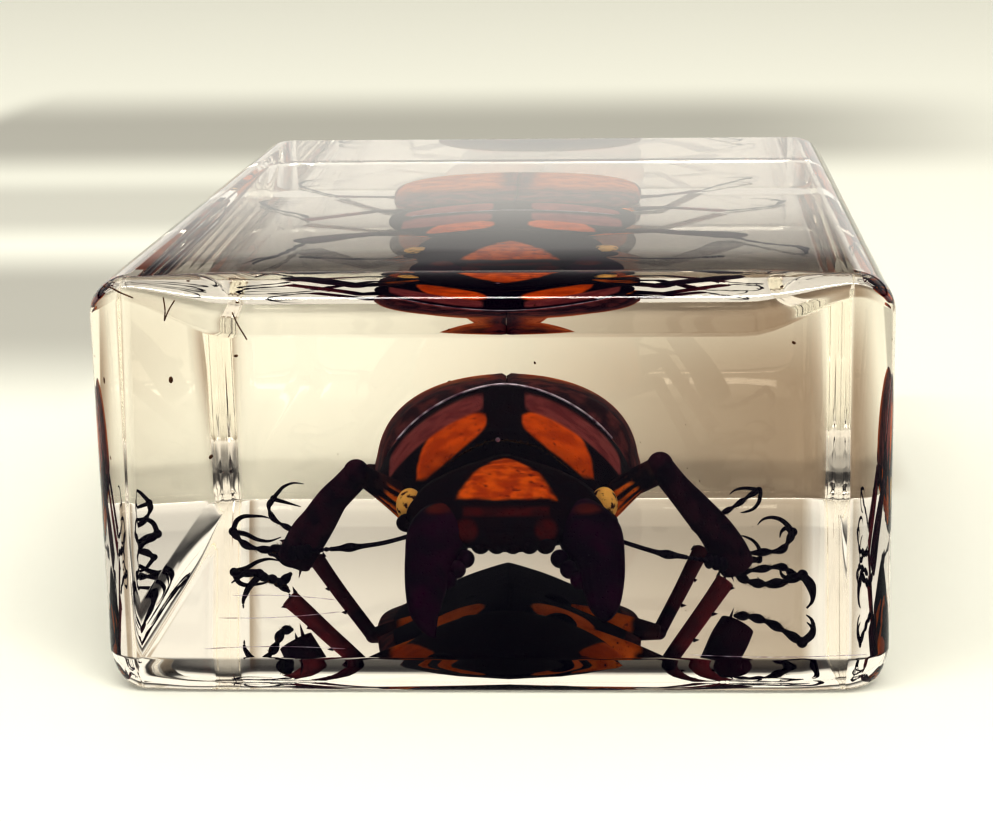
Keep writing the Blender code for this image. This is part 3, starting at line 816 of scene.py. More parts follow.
def clearBlock(look):
    plan = blockPlan(look)
    edges = upperEdges(look, look["height"] - look["margin"])
    rings = []
    for i in range(look["footSteps"] + 1):
        height, inset = smoothRow(look["foot"], (len(look["foot"]) - 1) * (1 - i / look["footSteps"]))
        rings.append(blockRing(look, plan, max(height, 0.0), inset))
    for height in (look["foot"][0][0] + look["hair"], *look["levels"], None):
        rings.append(blockRing(look, plan, height))
    for step in range(len(edges[0])):
        rings.append(blockRing(look, plan, step=step, edges=edges))
    around = len(plan)
    verts = [p for ring in rings for p in ring]
    faces = ringFaces(len(rings), around)
    spine = look["length"] / 2 - look["width"] / 2
    for level, shrinks in ((0, look["baseRings"]), (len(rings) - 1, look["topRings"])):
        upper = level > 0
        lastRow = level * around
        for shrink in shrinks:
            first = len(verts)
            for p in rings[level]:
                axis = min(max(p.y, -spine), spine)
                flat = Vector((p.x * (1 - shrink), axis + (p.y - axis) * (1 - shrink), p.z))
                if upper and shrink > shrinks[0]:
                    flat.z -= look["wave"] * (0.5 + 0.5 * noise.noise(flat / look["waveLength"]))
                verts.append(flat)
            for k in range(around):
                n = (k + 1) % around
                quad = (lastRow + k, lastRow + n, first + n, first + k)
                faces.append(quad if upper else quad[::-1])
            lastRow = first
        cap = tuple(lastRow + k for k in range(around))
        faces.append(cap if upper else cap[::-1])
    block = meshObject("clearBlock", verts, faces)
    turnOutwards(block.data)
    block.data.materials.append(resinMaterial(resinSet))
    return finishPiece(block, nodesResin)


resinSet = {
    "ior": 1.53,
    "absorb": (0.90, 0.79, 0.58),
    "density": 5.0,
    "smudge": 0.012, "smudgeScale": 0.12, "smudgeDetail": 4.0, "smudgeEdge": (0.5, 0.75),
}


def resinMaterial(look):
    made, tree, shader = newMaterial("clearResin")
    shader.inputs["Base Color"].default_value = (1.0, 1.0, 1.0, 1.0)
    shader.inputs["Transmission Weight"].default_value = 1.0
    shader.inputs["IOR"].default_value = look["ior"]
    smudge = noiseNode(tree, objectSpace(tree), look["smudgeScale"], look["smudgeDetail"])
    smudge = mapped(tree, smudge, *look["smudgeEdge"], 0.0, look["smudge"])
    tree.links.new(smudge, shader.inputs["Roughness"])
    inside = treeNode(tree, "ShaderNodeVolumeAbsorption", None,
                      {"Color": (*look["absorb"], 1.0), "Density": look["density"]})
    tree.links.new(inside.outputs["Volume"], tree.nodes["Material Output"].inputs["Volume"])
    return made


block = clearBlock(blockSet)
print("clear block made", len(block.data.vertices), "points")


# the beetle's body

axisSet = {
    "turn": math.radians(2.0), "x": 0.05, "y": -14.0,      # turned about this point, near the eyes
    "bend": 0.22, "bendFrom": 3.0, "bendTo": 9.0,      # the hind body lies a little to the right
}


def alongAxis(point):
    # from the straight body to the insect's own line, turned a little in the block
    turned = Matrix.Rotation(axisSet["turn"], 3, "Z") @ Vector((point[0], point[1] - axisSet["y"], point[2]))
    aside = axisSet["bend"] * ramp(point[1], axisSet["bendFrom"], axisSet["bendTo"])
    return turned + Vector((axisSet["x"] + aside, axisSet["y"], 0.0))


def fullness(value, power):
    # a round section's sine or cosine, made fuller above a power of 2 and leaner below it
    return math.copysign(abs(value) ** (2.0 / power), value)


def bodyRings(sections, look, sculpt):
    # rings round the body through the sections, with rounded ends; each point may be sculpted
    count, around, ends = look["rings"], look["around"], look["endSteps"]
    turns = [math.radians(90.0 * k / ends) for k in range(1, ends)]
    # how far along the body, how far beyond its end, and how large
    rows = [(0.0, -math.cos(turn), math.sin(turn)) for turn in turns]
    rows += [(i / count, 0.0, 1.0) for i in range(count + 1)]
    rows += [(1.0, math.sin(turn), math.cos(turn)) for turn in turns]
    rings = []
    for t, beyond, size in rows:
        y, halfWidth, bottom, middle, top, fullUp, fullDown = smoothRow(sections, t * (len(sections) - 1))
        y += beyond * look["endReach"]
        ring = []
        for k in range(around):
            angle = 2 * math.pi * k / around
            upper = math.sin(angle) >= 0
            power = fullUp if upper else fullDown
            height = top - middle if upper else middle - bottom
            point = Vector((fullness(math.cos(angle), power) * halfWidth * size, y,
                            middle + fullness(math.sin(angle), power) * height * size))
            ring.append(sculpt(point, angle, t, size))
        rings.append(ring)
    return rings


def bodyPiece(name, sections, look, sculpt, marker, material, blusher=None):
    rings = bodyRings(sections, look, sculpt)
    verts, faces = closedSkin(rings)
    item = meshObject(name, [alongAxis(v) for v in verts], faces)
    storeMark(item, [marker(v) for v in verts])
    if blusher:
        storeMark(item, [blusher(v) for v in verts], "blush")
    turnOutwards(item.data)
    item.data.materials.append(material)
    return item


bodySet = {"endSteps": 6, "endReach": 0.35, "around": 120, "rings": 110}      # ends rounded by this reach
# y, half width, underside, height of the widest line, top, fullness above, fullness below
headRows = (
    (-20.7, 2.6, 5.0, 5.8, 6.3, 2.4, 2.0), (-19.6, 4.4, 4.9, 6.0, 7.3, 2.4, 2.0),
    (-17.6, 5.0, 4.6, 6.1, 8.0, 2.3, 2.0), (-15.0, 5.0, 4.3, 6.3, 8.6, 2.2, 2.0),
    (-12.0, 5.2, 3.8, 6.3, 8.9, 1.6, 2.0), (-9.0, 4.7, 3.5, 6.3, 8.7, 1.35, 1.9),
    (-6.2, 3.8, 3.8, 6.3, 8.4, 1.4, 1.9),
)
pronotumRows = (
    (-7.1, 5.2, 3.6, 6.4, 9.6, 1.9, 1.8), (-5.8, 6.2, 3.0, 6.3, 10.3, 1.8, 1.8),
    (-3.0, 6.95, 2.6, 6.0, 11.1, 1.75, 1.7), (0.0, 7.2, 2.3, 5.8, 11.6, 1.75, 1.7),
    (2.8, 7.1, 2.1, 5.7, 11.3, 1.7, 1.7), (4.4, 6.5, 2.3, 5.8, 10.7, 1.7, 1.7),
    (5.2, 5.2, 3.0, 5.9, 9.7, 1.8, 1.8),
)
hindRows = (
    (4.6, 5.0, 2.8, 5.6, 8.9, 2.1, 1.6), (6.0, 6.9, 2.2, 5.4, 10.1, 2.1, 1.45),
    (8.2, 7.5, 1.9, 5.1, 10.6, 2.45, 1.3), (12.0, 7.75, 1.75, 4.9, 10.7, 2.4, 1.08),
    (16.0, 7.8, 1.75, 4.8, 10.4, 2.1, 1.0), (19.5, 7.4, 1.85, 4.7, 9.6, 2.1, 1.0),
    (22.5, 6.0, 2.2, 4.6, 8.1, 2.1, 1.15), (24.6, 3.8, 2.6, 4.3, 6.3, 2.1, 1.5),
    (25.7, 1.6, 3.1, 4.1, 5.0, 2.0, 1.9),
)


def mound(x, y, shape):
    # a smooth rise of some height at a place, with its own width and length
    height, placeX, wide, placeY, long = shape
    return height * hump(x, placeX, wide) * hump(y, placeY, long)


bellySet = {
    "plates": (12.2, 14.6, 16.9, 19.1, 21.2, 23.0),     # where one belly plate meets the next
    "groove": 0.14, "grooveWidth": 0.16, "grooveEdge": (0.15, 0.5),
    "step": 0.10, "stepRun": 1.8, "stepDrop": 0.2,      # each plate swells towards the next
    "midline": 0.12, "midlineWidth": 0.18, "midlineTo": (10.5, 12.0), "midlineEdge": (0.5, 0.9),
    "under": 0.3, "narrower": 0.03,         # the back lies this far inside the wing cases
    # the amber spots: how strong, place and size
    "spot": 1.4, "spotX": 3.2, "spotY": 6.5, "spotWide": 1.8, "spotLong": 1.5,
}


def sculptBelly(point, angle, t, size):
    look = bellySet
    lower, upper = max(0.0, -math.sin(angle)), max(0.0, math.sin(angle))
    dip = sum(hump(point.y, edge, look["grooveWidth"]) for edge in look["plates"])
    dip *= look["groove"] * ramp(lower, *look["grooveEdge"])
    step = 0.0
    for edge in look["plates"]:
        rise = ramp(point.y, edge - look["stepRun"], edge)
        step += look["step"] * rise * (1 - ramp(point.y, edge, edge + look["stepDrop"])) * lower
    middle = look["midline"] * hump(point.x, 0.0, look["midlineWidth"])
    middle *= (1 - ramp(point.y, *look["midlineTo"])) * ramp(lower, *look["midlineEdge"])
    point.z += (dip + middle - step) * lower
    point.z -= look["under"] * upper
    point.x *= 1.0 - look["narrower"] * upper
    return point


def bellyMark(point):
    # amber where the middle legs are set in
    look = bellySet
    aside = (abs(point.x) - look["spotX"]) / look["spotWide"]
    return look["spot"] * (1.0 - math.hypot(aside, (point.y - look["spotY"]) / look["spotLong"]))


shieldSet = {
    "rim": 0.22, "rimWidth": 0.16,
    "bead": 0.10, "beads": ((0.03, 0.035), (0.93, 0.03)),         # share of the length, width
    "furrow": 0.10, "furrowWidth": 0.35, "furrowFrom": (0.1, 0.3),
    "dent": 0.12, "dentX": 5.6, "dentWidth": 0.5, "dentFrom": (0.15, 0.4), "dentTo": (0.7, 0.9),
}


def sculptShield(point, angle, t, size):
    look = shieldSet
    edge = hump(math.sin(angle), 0.0, look["rimWidth"])
    point.x += math.copysign(look["rim"] * edge, math.cos(angle)) * size
    upper = max(0.0, math.sin(angle))
    ends = sum(hump(t, place, width) for place, width in look["beads"])
    point.z += look["bead"] * ends * upper * size
    furrow = look["furrow"] * hump(point.x, 0.0, look["furrowWidth"])
    point.z -= furrow * upper * ramp(t, *look["furrowFrom"]) * size
    dent = look["dent"] * hump(abs(point.x), look["dentX"], look["dentWidth"])
    point.z -= dent * upper * ramp(t, *look["dentFrom"]) * (1 - ramp(t, *look["dentTo"]))
    return point


leafSet = {
    # an amber leaf on each side, seen from the front: an arc outside, a straight line inside
    "arcX": 1.6, "arcZ": 7.2, "arcRadius": 3.3, "lineX": 1.0, "lineZ": 9.95,
    "lineTurn": math.radians(50.0), "inner": 0.97, "foot": 6.8, "y": -1.6, "corner": 0.08,
    # the amber of the underside, out at its edges
    "underTo": 5.2, "underTop": 5.0, "underX": 4.1, "underLean": 0.3, "underY": -3.0,
    "underFront": -6.5, "underFade": 0.5,
}
rimSet = {
    # the crest's line
    "top": 5.82, "half": 7.2, "middle": 5.8, "power": 1.75,
    # the silvery rim on it
    "y": -0.5, "radius": 0.075, "reach": 6.1, "lift": 0.02, "steps": 60,
    # the band under it, and the same colour behind it
    "from": 0.20, "to": 0.80, "flare": 0.05, "inner": 1.15, "outer": 6.5, "above": 6.2,
    "bandCorner": 0.07, "bandBack": -0.6,
    "backFrom": -0.35, "backTo": 4.0, "backRound": 0.05, "corner": 0.3,
}


def shieldMark(point):
    x, y, z = abs(point.x), point.y, point.z
    look = leafSet
    if z < look["underTo"]:
        edge = x - look["underX"] - look["underLean"] * abs(y - look["underY"])
        return min(edge, look["underTop"] - z, (y - look["underFront"]) * look["underFade"])
    if y > look["y"]:
        return unmarked
    arc = look["arcRadius"] - math.hypot(x - look["arcX"], z - look["arcZ"])
    turn = look["lineTurn"]
    line = (x - look["lineX"]) * math.cos(turn) + (z - look["lineZ"]) * math.sin(turn)
    return softMin(look["corner"], arc, line, x - look["inner"], z - look["foot"])


def crestHeight(x):
    look = rimSet
    return look["middle"] + look["top"] * (1 - (x / look["half"]) ** look["power"]) ** (1 / look["power"])


def shieldBlush(point):
    # a paler red-brown band that follows the crest above the leaves, and a patch behind it on each side
    look = rimSet
    x = abs(point.x)
    if x > look["half"] or point.z < look["above"]:
        return unmarked
    sides = (x - look["inner"], look["outer"] - x)
    back = look["backTo"] - look["backRound"] * x * x
    behind = softMin(look["corner"], point.y - look["backFrom"], back - point.y, *sides)
    below = crestHeight(x) - point.z
    band = softMin(look["bandCorner"], below - look["from"], look["to"] + look["flare"] * x - below,
                   *sides, look["bandBack"] - point.y)
    return max(band, behind)


headSet = {
    # each as height, then place and size across, place and size along
    "dent": (0.30, 0.0, 2.4, -18.2, 1.3), "brow": (0.22, 4.6, 0.7, -15.2, 2.2),
    "cheek": (0.35, 0.0, 0.35, -15.8, 0.9),        # its first place and size run up the side
}


def sculptHead(point, angle, t, size):
    look = headSet
    rise = mound(abs(point.x), point.y, look["brow"]) - mound(point.x, point.y, look["dent"])
    point.z += rise * max(0.0, math.sin(angle)) * size
    point.x += math.copysign(mound(math.sin(angle), point.y, look["cheek"]), point.x) * size
    return point


frownSet = {
    # the amber hill, and how steeply its mark grows from its side and its front
    "back": -12.2, "front": -18.5, "halfWidth": 2.6, "power": 1.3, "above": 6.0,
    "sideRise": 1.4, "frontRise": 2.2,
    # the red spots and band on the face
    "blushTo": -17.0, "spot": 0.5, "spotX": 2.1, "spotZ": 6.1, "spotRadius": 0.6,
    "band": 0.8, "bandHalf": 2.3, "bandZ": 7.0, "bandDeep": 0.22,
}


def headMark(point):
    # an amber hill on the brow
    look = frownSet
    along = (point.y - look["front"]) / (look["back"] - look["front"])
    power = look["power"]
    slope = 1.0 - (abs(point.x) / look["halfWidth"]) ** power - max(along, 0.0) ** power
    hill = min(slope * look["sideRise"], along * look["frontRise"])
    return hill if point.z > look["above"] else unmarked


def headBlush(point):
    # dull red: a band under the hill and a spot on each side, above the lip
    look = frownSet
    if point.y > look["blushTo"]:
        return unmarked
    spot = look["spotRadius"] - math.hypot(abs(point.x) - look["spotX"], point.z - look["spotZ"])
    band = min(look["bandHalf"] - abs(point.x), look["bandDeep"] - abs(point.z - look["bandZ"]))
    return max(look["spot"] * spot, look["band"] * band)


wingSet = {
    # it starts a part of a row along, and folds under the widest line by an angle in degrees
    "rows": 110, "columns": 70, "from": 0.25, "edgeAngle": -20.0, "wall": 0.2, "proud": 0.02,
    "seam": 0.12, "seamWidth": 0.10, "cleft": 0.015,      # half the gap between the two
    "ridge": 0.05, "ridgeX": 0.38, "ridgeWidth": 0.16, "ridgeTo": (0.9, 1.0),
    "rim": 0.12, "rimAngle": 0.02, "rimWidth": 0.07,
    "shoulder": (0.32, 5.6, 1.1, 7.2, 1.1),        # height, place and size across, place and size along
    # the amber: dark bands along the seam and the edge, and how it fades in at the front and out behind
    "seamBand": 1.05, "seamBandShare": (0.7, 0.6), "edgeBand": -0.6, "edgeShare": 0.6,
    "amberFrom": 11.3, "amberLean": 0.3, "amberMiddle": 3.5, "amberFade": 0.2,
    "amberTo": 24.6, "endFade": 0.8,
}


def wingMark(look, x, y, t, rise):
    # amber between the dark bands; rise is how far a point lies above the widest line, round the side
    near, more = look["seamBandShare"]
    front = y - look["amberFrom"] - look["amberLean"] * abs(x - look["amberMiddle"])
    return min(x - look["seamBand"] * (near + more * t), look["edgeBand"] + rise * look["edgeShare"],
               front * look["amberFade"], (look["amberTo"] - y) * look["endFade"])


def wingCase(side, look):
    # one wing case: a curved sheet from the middle seam to its folded outer edge
    rows, columns = look["rows"], look["columns"]
    verts, marks = [], []
    low = math.radians(look["edgeAngle"])
    for i in range(rows + 1):
        t = i / rows
        row = smoothRow(hindRows, look["from"] + t * (len(hindRows) - 1 - look["from"]))
        y, halfWidth, bottom, middle, top, fullUp, fullDown = row
        for k in range(columns + 1):
            angle = math.pi / 2 + (low - math.pi / 2) * k / columns
            power = fullUp if angle > 0 else fullDown
            height = top - middle if angle > 0 else middle - bottom
            x = fullness(math.cos(angle), power) * (halfWidth + look["proud"])
            z = middle + fullness(math.sin(angle), power) * height
            upper = max(0.0, math.sin(angle))
            z -= look["seam"] * hump(x, 0.0, look["seamWidth"]) * upper
            ridge = look["ridge"] * hump(x, look["ridgeX"], look["ridgeWidth"])
            z += ridge * upper * (1 - ramp(t, *look["ridgeTo"]))
            x = max(x + look["rim"] * hump(angle, look["rimAngle"], look["rimWidth"]), look["cleft"])
            z += mound(x, y, look["shoulder"]) * upper
            verts.append(alongAxis((side * x, y, z)))
            marks.append(wingMark(look, x, y, t, angle * halfWidth))
    faces = []
    for i in range(rows):
        for k in range(columns):
            a = i * (columns + 1) + k
            quad = (a, a + 1, a + columns + 2, a + columns + 1)
            faces.append(quad if side < 0 else quad[::-1])
    item = meshObject("wingCase", verts, faces)
    storeMark(item, marks)
    turnOutwards(item.data)
    if item.data.polygons[len(item.data.polygons) // 3].normal.z < 0:
        item.data.flip_normals()
    wall = item.modifiers.new("wall", "SOLIDIFY")
    wall.thickness = look["wall"]
    wall.offset = -1.0
    bpy.context.view_layer.update()
    solid = bpy.data.meshes.new_from_object(item.evaluated_get(bpy.context.evaluated_depsgraph_get()))
    item.modifiers.clear()
    item.data = solid
    item.data.materials.clear()
    item.data.materials.append(shells["elytra"])
    return item


def blobMesh(name, centre, size, material, around, rings, turn=None):
    # a smooth egg, closed
    turn = turn or Matrix.Identity(3)
    centre = Vector(centre)
    rows = []
    for i in range(1, rings):
        polar = math.pi * i / rings
        row = []
        for k in range(around):
            angle = 2 * math.pi * k / around
            place = Vector((size[0] * math.sin(polar) * math.cos(angle),
                            size[1] * math.sin(polar) * math.sin(angle), size[2] * math.cos(polar)))
            row.append(centre + turn @ place)
        rows.append(row)
    verts, faces = closedSkin(rows)
    pole = turn @ Vector((0.0, 0.0, size[2]))
    verts[-2:] = [centre + pole, centre - pole]
    return shellObject(name, verts, faces, material)


def smoothRun(points, count):
    # more points on a smooth curve through the given ones
    return [Vector(smoothRow(points, (len(points) - 1) * i / count)) for i in range(count + 1)]


def limbMesh(name, points, material, count, around, flat=1.0, flatAxis=(0.0, 0.0, 1.0), marks=None):
    # a limb through points of x, y, z, radius; its section is narrowed along one axis
    knots = [smoothRow(points, (len(points) - 1) * i / count) for i in range(count + 1)]
    places = [Vector(k[:3]) for k in knots]
    turns = [2 * math.pi * k / around for k in range(around)]
    rings = []
    for i, knot in enumerate(knots):
        tangent = (places[min(i + 1, count)] - places[max(i - 1, 0)]).normalized()
        across = Vector(flatAxis) - Vector(flatAxis).dot(tangent) * tangent
        across.normalize()
        other = tangent.cross(across)
        radius = max(knot[3], thinnest)
        rings.append([places[i] + radius * (math.cos(turn) * flat * across + math.sin(turn) * other)
                      for turn in turns])
    verts, faces = closedSkin(rings)
    return shellObject(name, verts, faces, material, marks)


fringeSet = {
    # the hairs over the neck, along a wavy run that falls away to its ends
    "y": -7.3, "wave": 0.15, "waves": 2.2, "z": 9.25, "fall": 0.13, "first": 14, "last": -13,
    "hairs": {"Count": 150, "Length": 0.55, "Thickness": 0.03, "Sides": 4, "Lean": (0.0, -1.0, 0.25),
              "Scatter": 0.5, "Shortest": 0.4, "Seed": 5, "Material": hairLook},
}


def makeBelly():
    belly = bodyPiece("belly", hindRows, bodySet, sculptBelly, bellyMark, shells["underside"])
    return finishPiece(belly, (nodeInsect,))


def makeWingCases(look):
    cases = joined("wingCases", [wingCase(side, look) for side in (-1, 1)])
    return finishPiece(cases, (nodeInsect,))


def makeShield(rimLook, fringeLook):
    shield = bodyPiece("pronotum", pronotumRows, bodySet, sculptShield, shieldMark, shells["pronotum"],
                       shieldBlush)
    xs = [rimLook["reach"] * (2 * i / rimLook["steps"] - 1) for i in range(rimLook["steps"] + 1)]
    rim = []
    for x in xs:
        place = alongAxis((x, rimLook["y"], crestHeight(abs(x)) + rimLook["lift"]))
        rim.append((*place, rimLook["radius"]))
    film = limbMesh("rim", rim, filmLook, count=120, around=8)
    run = []
    for x in xs[fringeLook["first"]:fringeLook["last"]]:
        y = fringeLook["y"] - fringeLook["wave"] * math.sin(fringeLook["waves"] * x)
        run.append((*alongAxis((x, y, fringeLook["z"] - fringeLook["fall"] * x * x)), 1.0))
    hairs = grownByNodes(pathCurve("fringeRun", run), thornTree, fringeLook["hairs"], "fringe")
    return finishPiece(joined("pronotum", [shield, film, hairs]), (nodeInsect,))


faceSet = {
    "aside": 0.06,        # the eyes and their knobs lie this far to the right of the head's own line
    # place on the right side, and size
    "eye": ((5.26, -13.6, 6.5), (0.75, 1.15, 0.95)), "canthus": ((5.36, -15.1, 5.75), (0.62, 0.95, 0.5)),
    "lipPlate": ((0.6, -20.0, 5.55), (2.4, 0.9, 0.72)), "lip": ((0.62, -20.5, 5.3), (0.52, 0.5, 0.5)),
    "lobes": 5, "lobeStep": 0.86,
}


def makeHead(look):
    parts = [bodyPiece("skull", headRows, bodySet, sculptHead, headMark, shells["head"], headBlush)]
    for side in (-1, 1):
        for name, made, around, rings in (("eye", eyeLook, 32, 22), ("canthus", shells["head"], 20, 14)):
            (x, y, z), size = look[name]
            place = alongAxis((side * x + look["aside"], y, z))
            parts.append(blobMesh(name, place, size, made, around, rings))
    parts.append(blobMesh("lipPlate", *look["lipPlate"], shells["head"], around=30, rings=18))
    (middle, y, z), size = look["lip"]
    for i in range(look["lobes"]):
        x = middle + look["lobeStep"] * (i - 0.5 * (look["lobes"] - 1))
        parts.append(blobMesh("lip", (x, y, z), size, shells["head"], around=18, rings=12))
    return finishPiece(joined("head", parts), (nodeInsect,))


makeBelly()
makeWingCases(wingSet)
makeShield(rimSet, fringeSet)
makeHead(faceSet)
print("body and head made")


# mandibles and antennae

mandibleSet = {
    "left": {
        "run": ((-3.0, -16.9, 6.2, 1.3), (-3.35, -19.5, 5.6, 1.7), (-3.8, -21.3, 4.4, 1.3),
                (-3.95, -22.7, 3.1, 1.05), (-3.95, -23.8, 2.2, 0.8), (-3.7, -24.6, 1.5, 0.45),
                (-3.4, -25.1, 1.05, 0.08)),
        "teeth": ((-1.9, -20.9, 4.6), (-2.35, -21.4, 4.1), (-2.8, -21.9, 3.6)),
        "spot": (-3.3, -19.6, 7.3),
    },
    "right": {
        "run": ((4.1, -16.9, 6.2, 1.3), (4.7, -19.5, 5.6, 1.7), (5.25, -21.3, 4.4, 1.3),
                (5.4, -22.6, 3.2, 1.05), (5.45, -23.5, 2.5, 0.8), (5.5, -24.2, 2.1, 0.45),
                (5.45, -24.6, 1.8, 0.08)),
        "teeth": ((3.1, -20.9, 4.6), (3.6, -21.4, 4.1), (4.15, -21.9, 3.6)),
        "spot": (4.5, -19.6, 7.3),
    },
    "toothRadius": 0.5, "spotRadius": 0.75, "flat": 0.92,
}
antennaSet = {
    "left": ((-4.3, -15.6, 5.35, 0.18), (-5.2, -15.6, 5.05, 0.12), (-6.5, -15.6, 4.7, 0.12),
             (-7.7, -15.5, 4.5, 0.14), (-8.35, -15.4, 4.42, 0.25), (-8.9, -15.3, 4.35, 0.15),
             (-9.3, -15.2, 4.3, 0.12)),
    "leftFeeler": ((-9.2, -15.2, 4.31, 0.13), (-9.7, -15.0, 4.25, 0.13), (-10.2, -14.8, 4.18, 0.15),
                   (-10.6, -14.6, 4.1, 0.18)),
    "right": ((4.9, -15.6, 5.3, 0.18), (5.8, -15.6, 4.95, 0.12), (7.1, -15.6, 4.5, 0.12),
              (8.2, -15.5, 4.15, 0.14), (8.75, -15.4, 4.02, 0.25), (9.3, -15.3, 3.93, 0.15),
              (9.7, -15.2, 3.85, 0.12)),
    "rightFeeler": ((9.6, -15.2, 3.86, 0.13), (10.1, -15.0, 3.75, 0.13), (10.6, -14.8, 3.65, 0.15),
                    (10.9, -14.6, 3.55, 0.18)),
    "feeler": {"Joints": 5, "Rings Per Joint": 6, "Pinch": 0.25, "Sides": 12},
    "leaves": 3, "leafSize": (0.28, 0.24, 0.42), "leafStep": 0.46, "leafFirst": 0.3,
}


def makeMandibles(look):
    parts = []
    for side in ("left", "right"):
        spot = Vector(look[side]["spot"])
        parts.append(limbMesh("mandible", look[side]["run"], shells["mandible"], count=44, around=32,
                              flat=look["flat"], marks=lambda p: look["spotRadius"] - (p - spot).length))
        size = (look["toothRadius"],) * 3
        for place in look[side]["teeth"]:
            parts.append(blobMesh("tooth", place, size, shells["mandible"], around=16, rings=12))
    return finishPiece(joined("mandibles", parts), (nodeInsect,))


def makeAntennae(look):
    parts = []
    for side in ("left", "right"):
        parts.append(limbMesh("scape", look[side], shells["foot"], count=30, around=14))
        run = look[side + "Feeler"]
        feeler = dict(look["feeler"], Material=shells["foot"])
        parts.append(grownByNodes(pathCurve("feelerRun", smoothRun(run, 30)), limbTree, feeler, "feeler"))
        end = Vector(run[-1][:3])
        outward = (end - Vector(run[-2][:3])).normalized()
        for i in range(look["leaves"]):
            place = end + outward * look["leafStep"] * (i + look["leafFirst"])
            parts.append(blobMesh("leaf", place, look["leafSize"], shells["foot"], around=14, rings=10))
    return finishPiece(joined("antennae", parts), (nodeInsect,))


makeMandibles(mandibleSet)
makeAntennae(antennaSet)
print("mandibles and antennae made")


# legs

